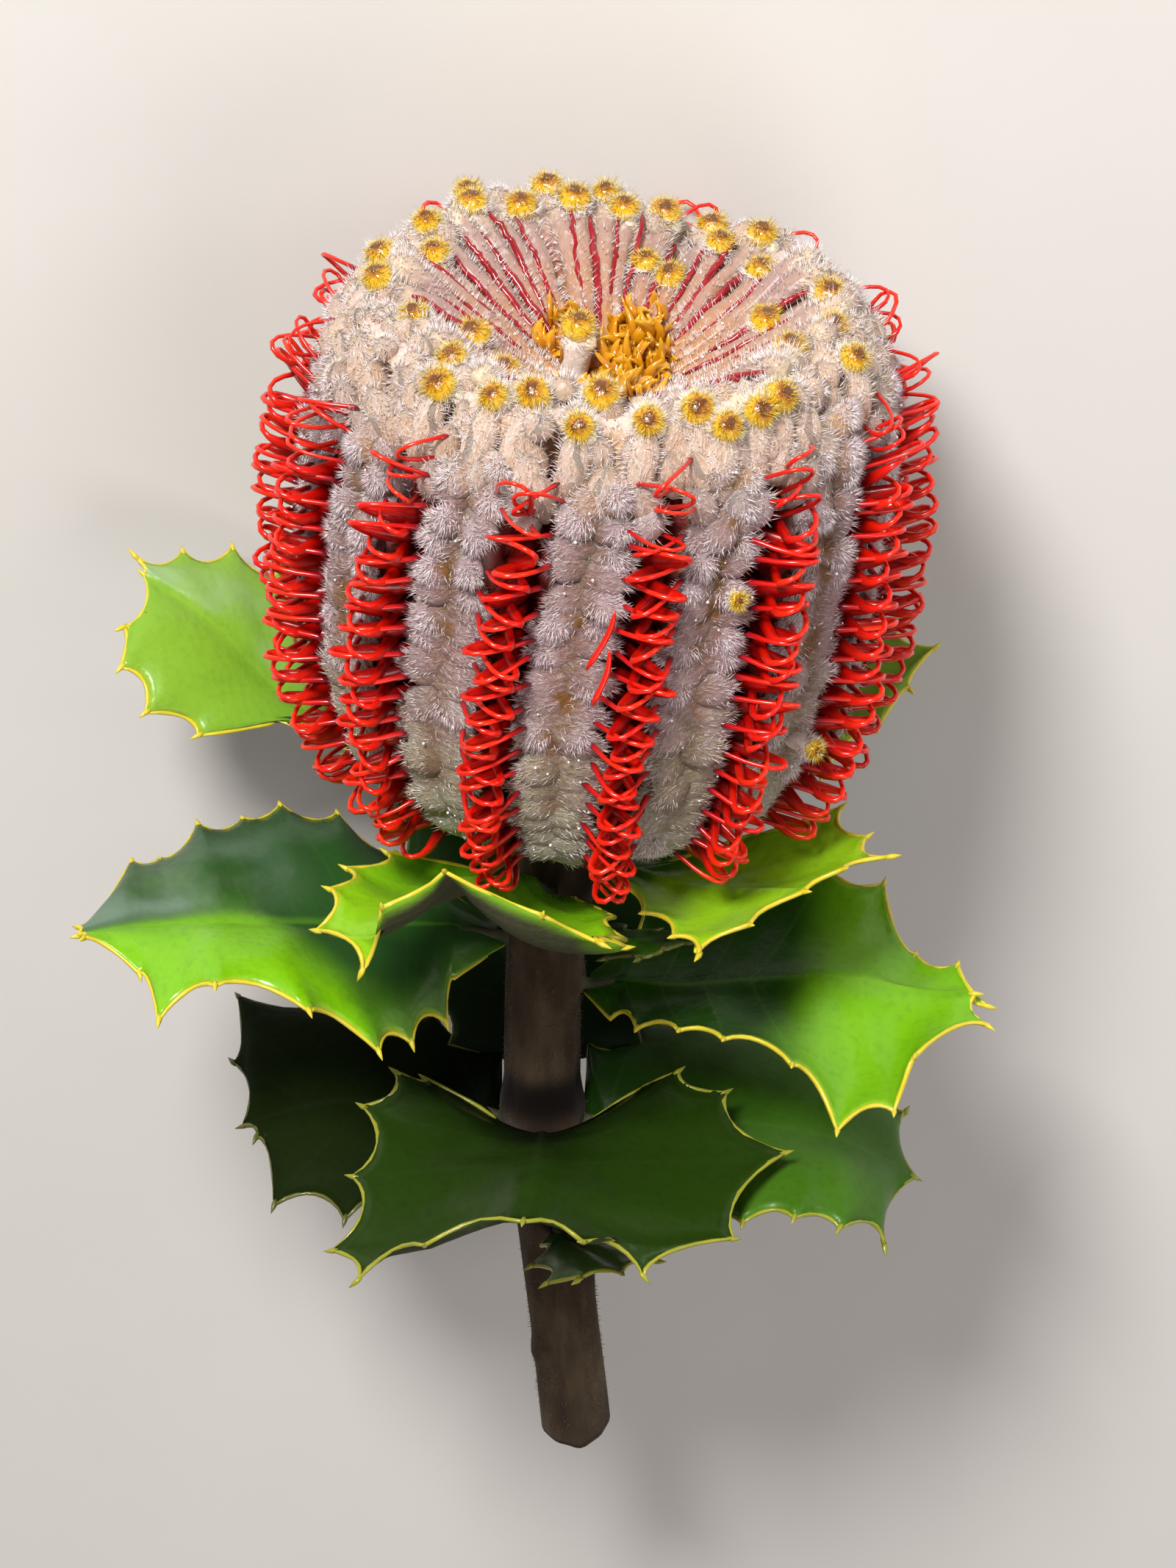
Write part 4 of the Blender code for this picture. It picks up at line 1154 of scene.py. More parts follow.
def rimSites():
    parts = []
    for count, low, high, upright in tuft["rings"]:
        bearing = np.arange(count) * 360.0 / count + rng.normal(0, 2.0, count)
        height = rng.uniform(low, high, count)
        across, out, up = headAxes(bearing, np.minimum(height, 62.0))
        way = out * rng.uniform(0.35, 0.85, count)[:, None]
        way = way + up * (upright * rng.uniform(0.8, 1.2, count))[:, None]
        way = unit(way + across * rng.normal(0, 0.28, count)[:, None])
        size = rng.uniform(1.7, 2.4, count)
        length = size * rng.uniform(3.2, 4.4, count)
        tip = headSpot(bearing, height, woolRadius(height) + rng.uniform(-0.6, 0.8, count)) + way * 1.2
        spot = tip - way * length[:, None]
        roll = rng.uniform(0, 6.3, count)
        parts.append(looseLimbs(spot, way, roll, length, size, 0.95, height / head["height"], 0.6))
    count = tuft["inside"]
    bearing = np.arange(count) * 360.0 / count + rng.normal(0, 3.0, count)
    spot = crownSpot(bearing, rng.uniform(27.5, 33.0, count), -1.4)
    _, out, up = headAxes(bearing - head["twist"] / 2, 60.0)
    way = unit(up + out * rng.normal(0.1, 0.3, (count, 1)) + rng.normal(0, 0.3, (count, 3)))
    roll = rng.uniform(0, 6.3, count)
    size = rng.uniform(1.4, 2.1, count)
    parts.append(looseLimbs(spot, way, roll, size * 2.2, size, 1.0, 1.0, 0.65))
    # fingers that carry the buds of the rim
    carried = [place for place in bud["places"] if place[1] >= tuft["fingersFrom"]]
    bearing, radius = np.array(carried, float).T
    low = tuft["fingerFoot"]
    foot = headSpot(bearing - head["twist"] * (low / head["height"] - 0.5), low, woolRadius(low) - 0.9)
    tip = crownSpot(bearing, radius, 1.2)
    roll = rng.uniform(0, 6.3, len(bearing))
    size = rng.uniform(1.9, 2.3, len(bearing))
    length = np.linalg.norm(tip - foot, axis=1) + 0.5
    parts.append(looseLimbs(foot, unit(tip - foot), roll, length, size, 1.0, 1.0, 1.0))
    return {key: np.concatenate([part[key] for part in parts]) for key in parts[0]}


def buildTufts(skin, looks):
    sites = rimSites()
    count = len(sites["spot"])
    shown = np.where(rng.random(count) < sites["pale"], 1.0, 0.62)
    seeds = {"level": sites["level"], "seed": rng.random(count), "tuft": shown}
    points, faces, values = limbModel()
    # the rim tufts get only a little of the painted crease shade
    values = {"crest": 0.8 + 0.2 * values["crest"], "along": 0.38 + 0.58 * values["along"],
              "turn": values["turn"]}
    made = stamp("rimTufts", (points, faces, values), sites["spot"], limbFrames(sites), [skin], None, seeds)
    done(made, "wool")
    finger = sites["pale"] == 1.0
    who = np.repeat(np.arange(count), tuft["hairs"] * (1 + finger))
    count = len(who)
    along = np.where(finger[who], 0.08, 0.30)
    along = along + (0.99 - along) * rng.random(count) ** 0.75
    root, away = onLimb(sites, who, along, rng.uniform(-3.14, 3.14, count), 0.08)
    way = away + sites["way"][who] * 0.35 + rng.normal(0, 0.2, (count, 3)) - (0.0, 0.0, 0.15)
    white = shown[who] > 0.8
    tone = rng.choice(3, count, p=[0.64, 0.16, 0.20])                   # white, pearl, cream
    tone = np.where(white, tone, rng.choice(3, count, p=[0.55, 0.30, 0.15]))
    length = rng.uniform(0.8, 1.8, count) * np.where(white, 1.0, 0.7)
    done(hairs("rimHairs", root, way, length, rng.uniform(0.055, 0.082, count), tone, looks), "wool")


def buildUnderHairs(looks):                             # between the rim tufts, and on top of the rim
    count = tuft["between"]
    share, height = rng.uniform(0.12, 0.88, count), rng.uniform(55.0, 70.3, count)
    bearing = head["firstColumn"] + columnStep * (rng.integers(0, head["columns"], count) + share)
    relief = rimFade(height) * np.interp(0.5 - np.abs(share - 0.5), *np.array(wool["across"]).T)
    _, out, up = headAxes(bearing, height)
    root = headSpot(bearing, height, woolRadius(height) + relief)
    way = out + up * 0.3 + rng.normal(0, 0.35, (count, 3))
    bearing = rng.uniform(0, 360, tuft["crest"])
    root = np.concatenate([root, crownSpot(bearing, rng.uniform(26.0, 35.0, tuft["crest"]), 0.0)])
    way = np.concatenate([way, (0.0, 0.0, 1.0) + rng.normal(0, 0.5, (tuft["crest"], 3))])
    count = len(root)
    length, width = rng.uniform(1.0, 2.0, count), rng.uniform(0.065, 0.095, count)
    tone = rng.choice(len(looks), count, p=[0.44, 0.24, 0.20, 0.04, 0.08])
    done(hairs("underHairs", root, way, length, width, tone, looks), "wool")


# stem

stem = {
    # height, middle, radius
    "rows": [(-0.5, 0.0, 9.5), (-5.0, -1.2, 8.4), (-12.0, -3.2, 6.9), (-24.0, -5.9, 5.5),
             (-40.0, -6.7, 5.1), (-53.0, -6.8, 5.3), (-57.5, -6.8, 6.0), (-62.0, -6.6, 5.2),
             (-72.0, -6.0, 5.0), (-80.0, -5.2, 5.0), (-98.0, -3.8, 4.9), (-115.0, -2.4, 4.9)],
    "around": 40,
    "along": 110,
    "length": 115.0,
    "slope": 0.35,                  # of the cut
    "insets": (0.10, 0.62, 0.10),   # rings on the cut, as shares of its radius
    "joint": -53.6,                 # height of the dark band
    # height, angle from the front to the right
    "knots": [(-11, -1.9), (-17, 0.2), (-28, -1.6), (-36, 1.6), (-59, 1.7), (-60, -1.8), (-57.5, 0.0),
              (-76, 0.4), (-88, 2.6), (-101, -0.8)],
    "hairs": 5600,
    "bark": [(0.25, (0.020, 0.013, 0.008)), (0.5, (0.048, 0.032, 0.019)), (0.75, (0.095, 0.066, 0.040))],
    "dark": (0.005, 0.003, 0.003),
    "wood": ((0.42, 0.38, 0.22), (0.66, 0.60, 0.40)),
}


def stemAt(height):
    rows = np.array(stem["rows"][::-1])
    middle = np.interp(height, rows[:, 0], rows[:, 1])
    return np.stack([middle, 0 * height, height], -1), np.interp(height, rows[:, 0], rows[:, 2])


def cutDrop(height, back):                              # the cut end slants
    return ease(-height, 108.0, stem["length"]) * stem["slope"] * back


def buildStem():
    depth = stem["length"]
    rod = tubeModel([(0.0, 0.0, z) for z in np.linspace(-depth, 0.0, stem["along"])],
                    [1.0] * stem["along"], stem["around"])
    for face in rod.data.polygons:
        face.select = face.normal.z < -0.9
    bpy.ops.object.mode_set(mode="EDIT")
    for inset in stem["insets"]:
        bpy.ops.mesh.inset(thickness=inset)
    bpy.ops.object.mode_set(mode="OBJECT")
    points, faces, _ = readModel(rod)
    height = points[:, 2]
    angle = np.arctan2(points[:, 0], -points[:, 1])
    away = np.hypot(points[:, 0], points[:, 1])
    place, radius = stemAt(np.clip(height, 0.1 - depth, -0.5))
    ridge = 0.16 * np.sin(5 * angle + 0.05 * height) + 0.10 * np.sin(9 * angle - 0.11 * height)
    knots = 0.0
    for at, turn in stem["knots"]:
        aside = np.angle(np.exp(1j * (angle - turn)))
        knots = knots + 0.55 * np.exp(-((height - at) / 1.5) ** 2) * np.exp(-aside ** 2)
    radius = radius + ridge + knots
    place[:, 0] += away * radius * np.sin(angle)
    place[:, 1] -= away * radius * np.cos(angle)
    place[:, 2] = np.minimum(height, -0.5)
    place[:, 2] += cutDrop(height, place[:, 1])
    bark = Look("velvetBark", {"Roughness": 0.92, "Specular IOR Level": 0.12, "Sheen Weight": 0.06})
    grain = bark.noise(420.0, 4.0, (1.0, 0.25, 1.0))
    blot = bark.noise(90.0, 2.0)
    skin = bark.ramp(grain * 0.6 + blot * 0.5, stem["bark"])
    bark.feed("Base Color", bark.mix(bark.value("dark"), skin, stem["dark"]))
    bark.bump(grain, 0.8, 0.5 * mm)
    wood = mottled("cutWood", 700.0, 3.0, stem["wood"], {"Roughness": 0.8})
    cut = np.array([max(height[face]) < 0.01 - depth and max(away[face]) < 0.93 for face in faces])
    dark = 0.96 * np.exp(-((height - stem["joint"]) / 3.6) ** 4) + 0.5 * ease(height, -12.0, -2.0)
    made = meshFrom("velvetStem", place, np.concatenate(faces), cornerStarts(faces), cut.astype(float),
                    [bark, wood], {"dark": dark})
    done(made, "bark", "stem")


def buildStemDown():
    count = stem["hairs"]
    height = rng.uniform(-113.0, -3.0, count)
    height = np.where(np.abs(height - stem["joint"]) < 3.4, height - 7.0, height)
    middle, radius = stemAt(height)
    turn = rng.uniform(0, 2 * math.pi, count)
    out = np.stack([np.sin(turn), -np.cos(turn), 0 * turn], 1)
    root = middle + out * (radius * 0.985)[:, None]
    root[:, 2] += cutDrop(height, root[:, 1])
    way = out + rng.normal(0, 0.45, (count, 3))
    down = [plain("downBrown", (0.07, 0.048, 0.030), 0.8), plain("downGrey", (0.18, 0.13, 0.085), 0.8)]
    length, width = rng.uniform(0.35, 0.9, count), rng.uniform(0.03, 0.05, count)
    tone = (rng.random(count) < 0.45).astype(int)
    done(hairs("stemDown", root, way, length, width, tone, down), "bark")


# leaves

leafForm = {
    "blade": 0.55,                  # thickness
    "sinus": 0.30,                  # depth of the bays between teeth, as a share of their width
    "sinusMax": 3.2,
    "sinusReach": 0.4,
    "endSinus": 2.0,                # of a tip with one tooth
    "petiole": 2.8,
    "camber": 0.07,
    "clearance": 0.55,              # from the stem to the foot
    "perTooth": 8,
    "half": 11,
    "neck": 6,                      # rows from the stem to the blade
    "margin": 0.31,
    "swell": 0.26,                  # of the blade between two veins
    "groove": 0.30,                 # along the rib
    "wave": 0.30,
    "spine": [(-0.9, 0.30), (-0.1, 0.42), (0.55, 0.26), (1.25, 0.03)],         # place past the edge, radius
    "stalk": [1.5, 1.45, 1.2, 0.8, 0.35],
}
horns = {"Yellow": ((0.62, 0.52, 0.015), (0.78, 0.66, 0.05)),
         "Lime": ((0.22, 0.25, 0.012), (0.42, 0.40, 0.03)),
         "Olive": ((0.06, 0.075, 0.010), (0.14, 0.14, 0.02))}

# rib, left and right edge from foot to tip, and the teeth of a broad tip: right, back, up.
# node is the height on the stem. Of the two greens the darker is painted shade, where the head and
# the leaves above shade the blade, and the brighter is painted light; lit is the stretch of the blade
# over which the one turns into the other. sunny and shadow paint shade on the right half and dusk on
# all of it, and the greens of the lower leaves are dark as painted shade. The pale cast on the right
# half is a painted sheen, and bare counts the right teeth without a spine.
leaves = {
    "leaf_back_left": {
        "node": -11.0, "inner": (0.1, 0.28, 0.02), "fresh": (0.22, 0.44, 0.03), "gloss": 0.3,
        "bloom": (0.32, 0.47, 0.25),
        "rib": [(-14, 7, -9.5), (-26, 11.5, -7.5), (-41, 17, -1), (-51.5, 22, 8), (-61, 26, 13.5)],
        "left": [(-20, 6, -8.5), (-33, 10, -5.5), (-43, 13, -2), (-53, 8, -1), (-60, 8, 2.5),
                 (-63.5, 12, 7), (-63.5, 17, 10.5)],
        "right": [(-15, 15, -9), (-23, 24, -7), (-33.5, 32, 0), (-43, 36.5, 7), (-49.5, 36, 11.5),
                  (-56, 32, 13.5), (-62.5, 28, 15)],
    },
    "leaf_back_right": {
        "node": -14.0, "inner": (0.05, 0.18, 0.01), "fresh": (0.2, 0.42, 0.02), "gloss": 0.35,
        "rib": [(12, 8, -12.5), (22, 13.5, -10.5), (32, 18.5, -7), (40, 22, -2.5), (47, 25.5, 2)],
        "left": [(8, 13, -12), (12, 23, -10), (22, 31, -7), (32, 34, -3), (42, 32, 2)],
        "right": [(15, 3, -12.5), (22, 4.5, -11), (31, 9, -8), (39, 14, -4), (43.5, 20, -1.5)],
    },
    "leaf_left": {
        "node": -28.0, "inner": (0.022, 0.08, 0.016), "fresh": (0.19, 0.51, 0.003), "gloss": 0.26,
        "sunny": -0.45, "lit": (0.36, 0.60), "dusk": 0.20, "shadow": 0.35, "veins": 0.015, "coat": 0.30,
        "bloom": (0.17, 0.26, 0.20),
        "rib": [(-19, -3, -24.5), (-28, -5, -23), (-39.5, -8, -20.5), (-49.5, -10, -19),
                (-58, -12, -18), (-68.5, -15, -17.5)],
        "left": [(-18.5, -9, -29), (-19.5, -14, -33), (-24, -21, -31.5), (-28, -27, -28),
                 (-37, -29, -20), (-49.5, -27, -17.5), (-57, -28, -22), (-60, -20, -20.5),
                 (-67.5, -17, -17)],
        "right": [(-20, 6, -25.5), (-27, 14, -24.5), (-35, 16, -19), (-43, 16, -18), (-48, 13, -18),
                  (-54, 10, -16.5), (-59, 5, -19.5), (-62.5, 2, -17.5), (-68.5, -13, -17.5)],
    },
    "leaf_front_left": {
        "node": -17.0, "camber": 0.16, "bare": 3, "inner": (0.1, 0.32, 0.005),
        "fresh": (0.24, 0.53, 0.008), "gloss": 0.22,
        "rib": [(-7.5, -12, -11), (-10, -18, -6), (-13, -26, -1), (-17, -36, 6), (-18.5, -42.5, 11.5)],
        "left": [(-15, -11, -10.5), (-27, -14, -5), (-32, -20, -3), (-34, -27, -2), (-35.5, -33, -4),
                 (-29.5, -40, -5.5)],
        "right": [(-2, -12, -13.5), (0.5, -16, -12.5), (3, -20, -11.5), (4.5, -27, -9.5),
                  (4.5, -36, -4.5), (1.5, -43, 0.5)],
        "tip": [(-26.5, -42.5, 7), (-6.5, -44, 6.5)],
    },
    "leaf_front_right": {
        "node": -11.5, "lit": (0.15, 0.55), "inner": (0.04, 0.17, 0.004), "fresh": (0.30, 0.60, 0.01),
        "gloss": 0.24,
        "rib": [(4, -11, -9.5), (8, -14, -9), (13, -18, -8), (20, -23, -5), (27.5, -29, -1)],
        "left": [(1.5, -14, -9.5), (4.5, -22, -5), (6.5, -28, -4.5), (10.5, -34, -4.5),
                 (13.5, -38, -4.5)],
        "right": [(9, -9, -10), (22, -8, -6), (33, -9, -1.5), (36, -15, -1.5), (39, -22, 0)],
        "tip": [(20.5, -34, -2), (32.5, -26, 1)],
    },
    "leaf_small": {
        "node": -23.0, "camber": 0.05, "margin": "Olive", "shine": 0.2, "inner": (0.01, 0.042, 0.003),
        "fresh": (0.035, 0.12, 0.005), "gloss": 0.4,
        "rib": [(1, -10, -20.5), (3, -14, -18.8), (6, -19, -16.2), (9.5, -25, -13)],
        "left": [(-2, -11, -20.5), (-1.5, -16, -18.8), (1.5, -21.5, -16.5), (6, -26, -14)],
        "right": [(4.5, -8.5, -20.5), (8.5, -12, -19), (11.5, -16, -16.8), (13, -22, -13.5)],
    },
    "leaf_right": {
        "node": -36.0, "inner": (0.014, 0.07, 0.003), "fresh": (0.165, 0.44, 0.005), "gloss": 0.25,
        "lit": (0.46, 0.66),
        "rib": [(4, -2.5, -34.5), (12, -4.5, -34), (22, -6, -32), (34, -8, -30), (44.5, -9, -31.5),
                (52, -10.5, -31)],
        "left": [(2.5, -8, -37), (6, -14, -34), (11.5, -20, -29.5), (17.5, -24, -28.5),
                 (26.5, -28, -29.5), (32.5, -33, -36.5), (40, -30, -36), (43, -24, -31),
                 (53.5, -15, -32.5)],
        "right": [(4, 4, -34), (7.5, 12, -32.5), (16, 16, -30.5), (24, 17, -28.5), (32.5, 16, -27.5),
                  (40.5, 12, -28.5), (44.5, 2, -33), (50, -2, -32), (54, -10, -33.5)],
    },
    "leaf_lower_right": {
        "node": -59.0, "camber": -0.10, "margin": "Lime", "shine": 0.25, "inner": (0.008, 0.034, 0.002),
        "fresh": (0.05, 0.15, 0.006), "gloss": 0.35,
        "rib": [(1.8, -3, -57.6), (12, -4.5, -57.5), (24, -6, -57), (36, -8.5, -58.5), (45, -10, -63)],
        "left": [(4.5, -8, -60), (9, -17, -60.5), (14, -24, -60), (20.5, -25.5, -58.5),
                 (27.5, -26, -57), (34, -25, -59.5), (40.5, -20, -67.5)],
        "right": [(-0.5, 8, -52.8), (7, 14.5, -53.2), (15, 17, -54), (24, 15, -55), (32, 12, -56),
                  (39, 7, -57), (44.5, 1, -59.5)],
    },
    "leaf_lower_front": {
        "node": -59.0, "margin": "Lime", "shine": 0.2, "inner": (0.0012, 0.0035, 0.0005),
        "fresh": (0.016, 0.042, 0.002), "gloss": 0.35,
        "rib": [(-6.8, -10, -55), (-7, -15, -52.5), (-7.5, -24, -48.5), (-8, -34, -45.5),
                (-9, -42, -45)],
        "left": [(-13.5, -8, -54.5), (-23, -4, -50), (-27, -6, -47), (-31.5, -10, -50.5),
                 (-32.5, -22, -53), (-35, -32, -57.5), (-31.5, -38, -58.5)],
        "right": [(0, -8, -54.5), (7.5, -5, -50.5), (12, -6, -47.5), (18.5, -8, -49),
                  (26.5, -18, -52), (19, -32, -56), (7, -40, -55.5)],
        "tip": [(-22, -41, -49.5), (-1.5, -42, -48)],
    },
    "leaf_lower_left": {
        "node": -60.0, "margin": "Olive", "shine": 0.04, "coat": 0.0, "inner": (0.002, 0.005, 0.001),
        "fresh": (0.008, 0.016, 0.002), "gloss": 0.6,
        "rib": [(-14.9, 0, -57.8), (-22, 0, -57.5), (-30, 0, -57), (-38, 0, -57.5), (-49, -1, -60.5)],
        "left": [(-16, -6, -60), (-21, -14, -61.5), (-34, -18, -64), (-44, -15, -63.5),
                 (-47, -4, -60.5)],
        "right": [(-12.6, 9, -54.2), (-22.5, 17.5, -54.8), (-36, 22, -54.5), (-50.5, 21, -54.5),
                  (-51, 11, -58.5)],
    },
    "leaf_behind": {
        "node": -56.0, "camber": -0.03, "margin": "Olive", "shine": 0.15, "coat": 0.0,
        "inner": (0.004, 0.014, 0.002), "fresh": (0.012, 0.045, 0.003), "gloss": 0.5,
        "rib": [(-7, 10, -49), (-6.5, 18.5, -43.5), (-5.5, 28.5, -37), (-4.5, 37, -29),
                (-4, 41, -18)],
        "left": [(7, 8.5, -53.5), (15, 15, -47.5), (19, 23.5, -39.5), (19, 33, -31), (12, 41, -19)],
        "right": [(-20, 8.5, -53.5), (-27, 15, -47.5), (-30, 23.5, -38.5), (-28, 33, -30),
                  (-20, 41, -19)],
    },
    "leaf_lowest": {
        "node": -76.0, "margin": "Lime", "inner": (0.015, 0.06, 0.004), "fresh": (0.05, 0.13, 0.008),
        "gloss": 0.35,
        "rib": [(-3.5, -9.5, -74), (-1.5, -14, -71.5), (1.5, -21, -68), (4, -27.5, -65)],
        "left": [(0, -8, -74), (6, -12.5, -71.5), (9.5, -19, -68), (9, -25, -65)],
        "right": [(-7, -10, -75), (-8.5, -16, -73.5), (-6.5, -22.5, -71), (-2, -27.5, -67)],
    },
}


def leafFoot(leaf):                                     # where its stalk starts, and the way out there
    middle, radius = stemAt(np.array(leaf["node"]))
    towards = np.array(leaf["rib"][0], float) - middle
    flat = unit(towards * (1.0, 1.0, 0.0))
    return middle + flat * (radius + leafForm["clearance"]), flat


def sinusDepth(length, inward):
    depth = np.minimum(leafForm["sinus"] * length, leafForm["sinusMax"])
    return np.minimum(depth, leafForm["sinusReach"] * np.linalg.norm(inward, axis=-1))


def edgeAt(tips, rib, s):                               # toothed edge and the smooth line inside it
    tips = np.array(tips, float)
    last = len(tips) - 1
    i = np.clip(s.astype(int), 0, last - 1)
    f = (s - i)[:, None]
    chord = tips[i] + (tips[i + 1] - tips[i]) * f
    inward = rib(i + 0.5) - (tips[i] + tips[i + 1]) / 2
    depth = sinusDepth(np.linalg.norm(tips[i + 1] - tips[i], axis=1), inward)[:, None]
    hollow = np.sin(math.pi * np.clip(f, 0, 1)) ** 0.75
    toothed = chord + unit(inward) * depth * hollow
    k = np.arange(last + 1)
    towards = unit(rib(k.astype(float)) - tips)
    smooth = smoothAt(tips + towards * 0.55 * depth.mean(), s / last)
    return toothed, smooth


def tipEdge(leaf, a, back):                             # the far end is an edge of its own, with its teeth
    tip = leaf.get("tip", [])
    tips = np.array([leaf["left"][-1], *tip[:1], leaf["rib"][-1], *tip[1:], leaf["right"][-1]], float)
    x = (a + 1) / 2 * (len(tips) - 1)
    i = np.clip(x.astype(int), 0, len(tips) - 2)
    f = (x - i)[:, None]
    length = np.linalg.norm(tips[i + 1] - tips[i], axis=1)[:, None]
    depth = np.minimum(leafForm["sinus"] * length, leafForm["sinusMax" if tip else "endSinus"])
    return tips[i] + (tips[i + 1] - tips[i]) * f + back * depth * np.sin(math.pi * f) ** 0.75


def leafGrid(leaf):
    teeth = len(leaf["left"]) - 1
    ribs = np.array(leaf["rib"], float)

    def rib(s):
        return smoothAt(ribs, np.asarray(s, float) / teeth)

    s = np.linspace(0.0, teeth, teeth * leafForm["perTooth"] + 1)
    q = np.linspace(0.0, 1.0, leafForm["half"] + 1) ** 0.85
    a = np.concatenate([-q[:0:-1], q])                  # -1 at the left edge, 1 at the right one
    middle = rib(s)
    along = rib(s + 0.3) - rib(s - 0.3)
    leftTooth, leftSmooth = edgeAt(leaf["left"], rib, s)
    rightTooth, rightSmooth = edgeAt(leaf["right"], rib, s)
    upward = unit(np.cross(rightSmooth - leftSmooth, along))
    camber = leaf.get("camber", leafForm["camber"])
    share = np.abs(a)[None, :, None]
    smooth = np.where(a[None, :, None] < 0, leftSmooth[:, None], rightSmooth[:, None])
    tooth = np.where(a[None, :, None] < 0, leftTooth[:, None], rightTooth[:, None])
    width = np.linalg.norm(smooth - middle[:, None], axis=2, keepdims=True)
    grid = middle[:, None] * (1 - share) + smooth * share
    grid = grid + upward[:, None] * camber * width * 4 * share * (1 - share)
    grid = grid + (tooth - smooth) * ease(share, 0.55, 1.0) ** 1.3
    end = tipEdge(leaf, a, unit(rib(teeth - 0.6) - ribs[-1]))
    late = np.clip(s - (teeth - 1), 0.0, 1.0)[:, None, None] ** 1.5
    grid = grid + (end[None] - grid[-1:]) * late
    # veins stand a little proud below, the blade swells between them above
    a0 = a[None, :]
    vein = s[:, None] + 0.85 * (1 - np.abs(a0))
    swell = leafForm["swell"] * np.sin(math.pi * vein) ** 2 * (4 * np.abs(a0) * (1 - np.abs(a0))) ** 0.7
    swell = swell - leafForm["groove"] * np.exp(-(np.abs(a0) / 0.035) ** 2)
    wave = leafForm["wave"] * np.sin(2.1 * s + 1.0)[:, None] * a0 ** 2 * np.sign(a0)
    grid = grid + upward[:, None] * (swell + wave)[:, :, None]
    # the foot narrows to the stalk
    foot, _ = leafFoot(leaf)
    across = unit(grid[0, 0] - grid[0, -1])
    strap = foot + across * (-a * leafForm["petiole"] / 2)[:, None]
    t = np.linspace(0.0, 1.0, leafForm["neck"] + 1)[:-1, None, None]
    grid = np.concatenate([strap[None] * (1 - t) + grid[:1] * t, grid])
    vein = np.concatenate([vein[:1] - 1 + t[:, :, 0], vein])
    reach = np.concatenate([t[:, 0, 0] * 0.1, 0.1 + 0.9 * s / teeth])
    return grid, a, vein, reach


def shaded(color, share):
    return tuple(share * c for c in color)


def leafTop(name, leaf):
    top = Look(name + "Top", {"Roughness": 0.3, "Specular IOR Level": leaf.get("shine", 0.35),
                              "Coat Weight": leaf.get("coat", 0.08), "Coat Roughness": 0.15})
    across, side, vein, reach = (top.value(key) for key in ("across", "side", "vein", "reach"))
    blot = top.noise(70.0, 3.0)
    fine = top.noise(900.0, 2.0)
    line = (vein.fraction() - 0.5).size()                               # 0.5 on a vein
    # painted shade and light: darker near the stem, lighter further out and towards the edge, and darker on
    # the right half or all over for some leaves
    share = reach.within(*leaf.get("lit", (0.0, 0.9))) * 0.85 + across * 0.20
    share = share + (blot - 0.5) * 0.5 + side * leaf.get("sunny", 0.0) - leaf.get("dusk", 0.0)
    if "shadow" in leaf:
        share = share - side.within(-0.02, 0.12) * leaf["shadow"]
    green = top.mix(share.within(0.12, 0.88), leaf["inner"], leaf["fresh"])
    veins = line.within(0.44, 0.5) * (1 - across.within(0.75, 1.0)) * leaf.get("veins", 0.06)
    veins = veins + (1 - across.within(0.0, 0.05)) * 0.15
    green = top.mix(veins, green, tuple(min(1.0, 1.4 * c + 0.02) for c in leaf["fresh"]))
    edge = (across + (blot - 0.5) * 0.06).within(0.94, 1.0) * 0.6
    green = top.mix(edge, green, shaded(leaf["fresh"], 1.5) if "margin" in leaf else (0.40, 0.50, 0.03))
    green = top.mix(fine.within(0.45, 0.8) * 0.16, green, shaded(leaf["inner"], 0.5))
    # a painted sheen: a pale cast in blots on the outer right half
    if "bloom" in leaf:
        sheenPatch = top.noise(90.0, 5.0).within(0.30, 0.66) * side.within(0.0, 0.2)
        sheenPatch = sheenPatch * (1 - side.within(0.55, 0.95))
        green = top.mix(sheenPatch * reach.within(0.35, 0.8) * 0.75, green, leaf["bloom"])
    top.feed("Base Color", green)
    top.feed("Roughness", leaf["gloss"] + (blot - 0.5) * 0.25 + fine * 0.08)
    top.bump(fine * 0.4 + line * 0.5 + top.noise(230.0, 2.0) * 1.6, 0.45, 0.35 * mm)
    return top


def leafUnder(name, leaf):                              # brownish underside painted darker as shade under the leaf, green at its edge
    under = Look(name + "Under", {"Roughness": 0.8, "Specular IOR Level": 0.3})
    across = under.value("across")
    down = under.noise(1400.0, 3.0)
    line = (under.value("vein").fraction() - 0.5).size()
    veins = line.within(0.40, 0.5) * 0.7 + (1 - across.within(0.0, 0.07))
    feltAndShade = under.mix(down, (0.035, 0.045, 0.018), (0.085, 0.085, 0.04))
    feltAndShade = under.mix(veins * 0.5, feltAndShade, (0.12, 0.09, 0.05))
    edge = (across.within(0.74, 1.0) + under.value("reach").within(0.93, 1.0)) * 0.9
    under.feed("Base Color", under.mix(edge, feltAndShade, shaded(leaf["fresh"], 0.7)))
    under.bump(down * 0.6 + line * 0.8, 0.6, 0.3 * mm)
    return under


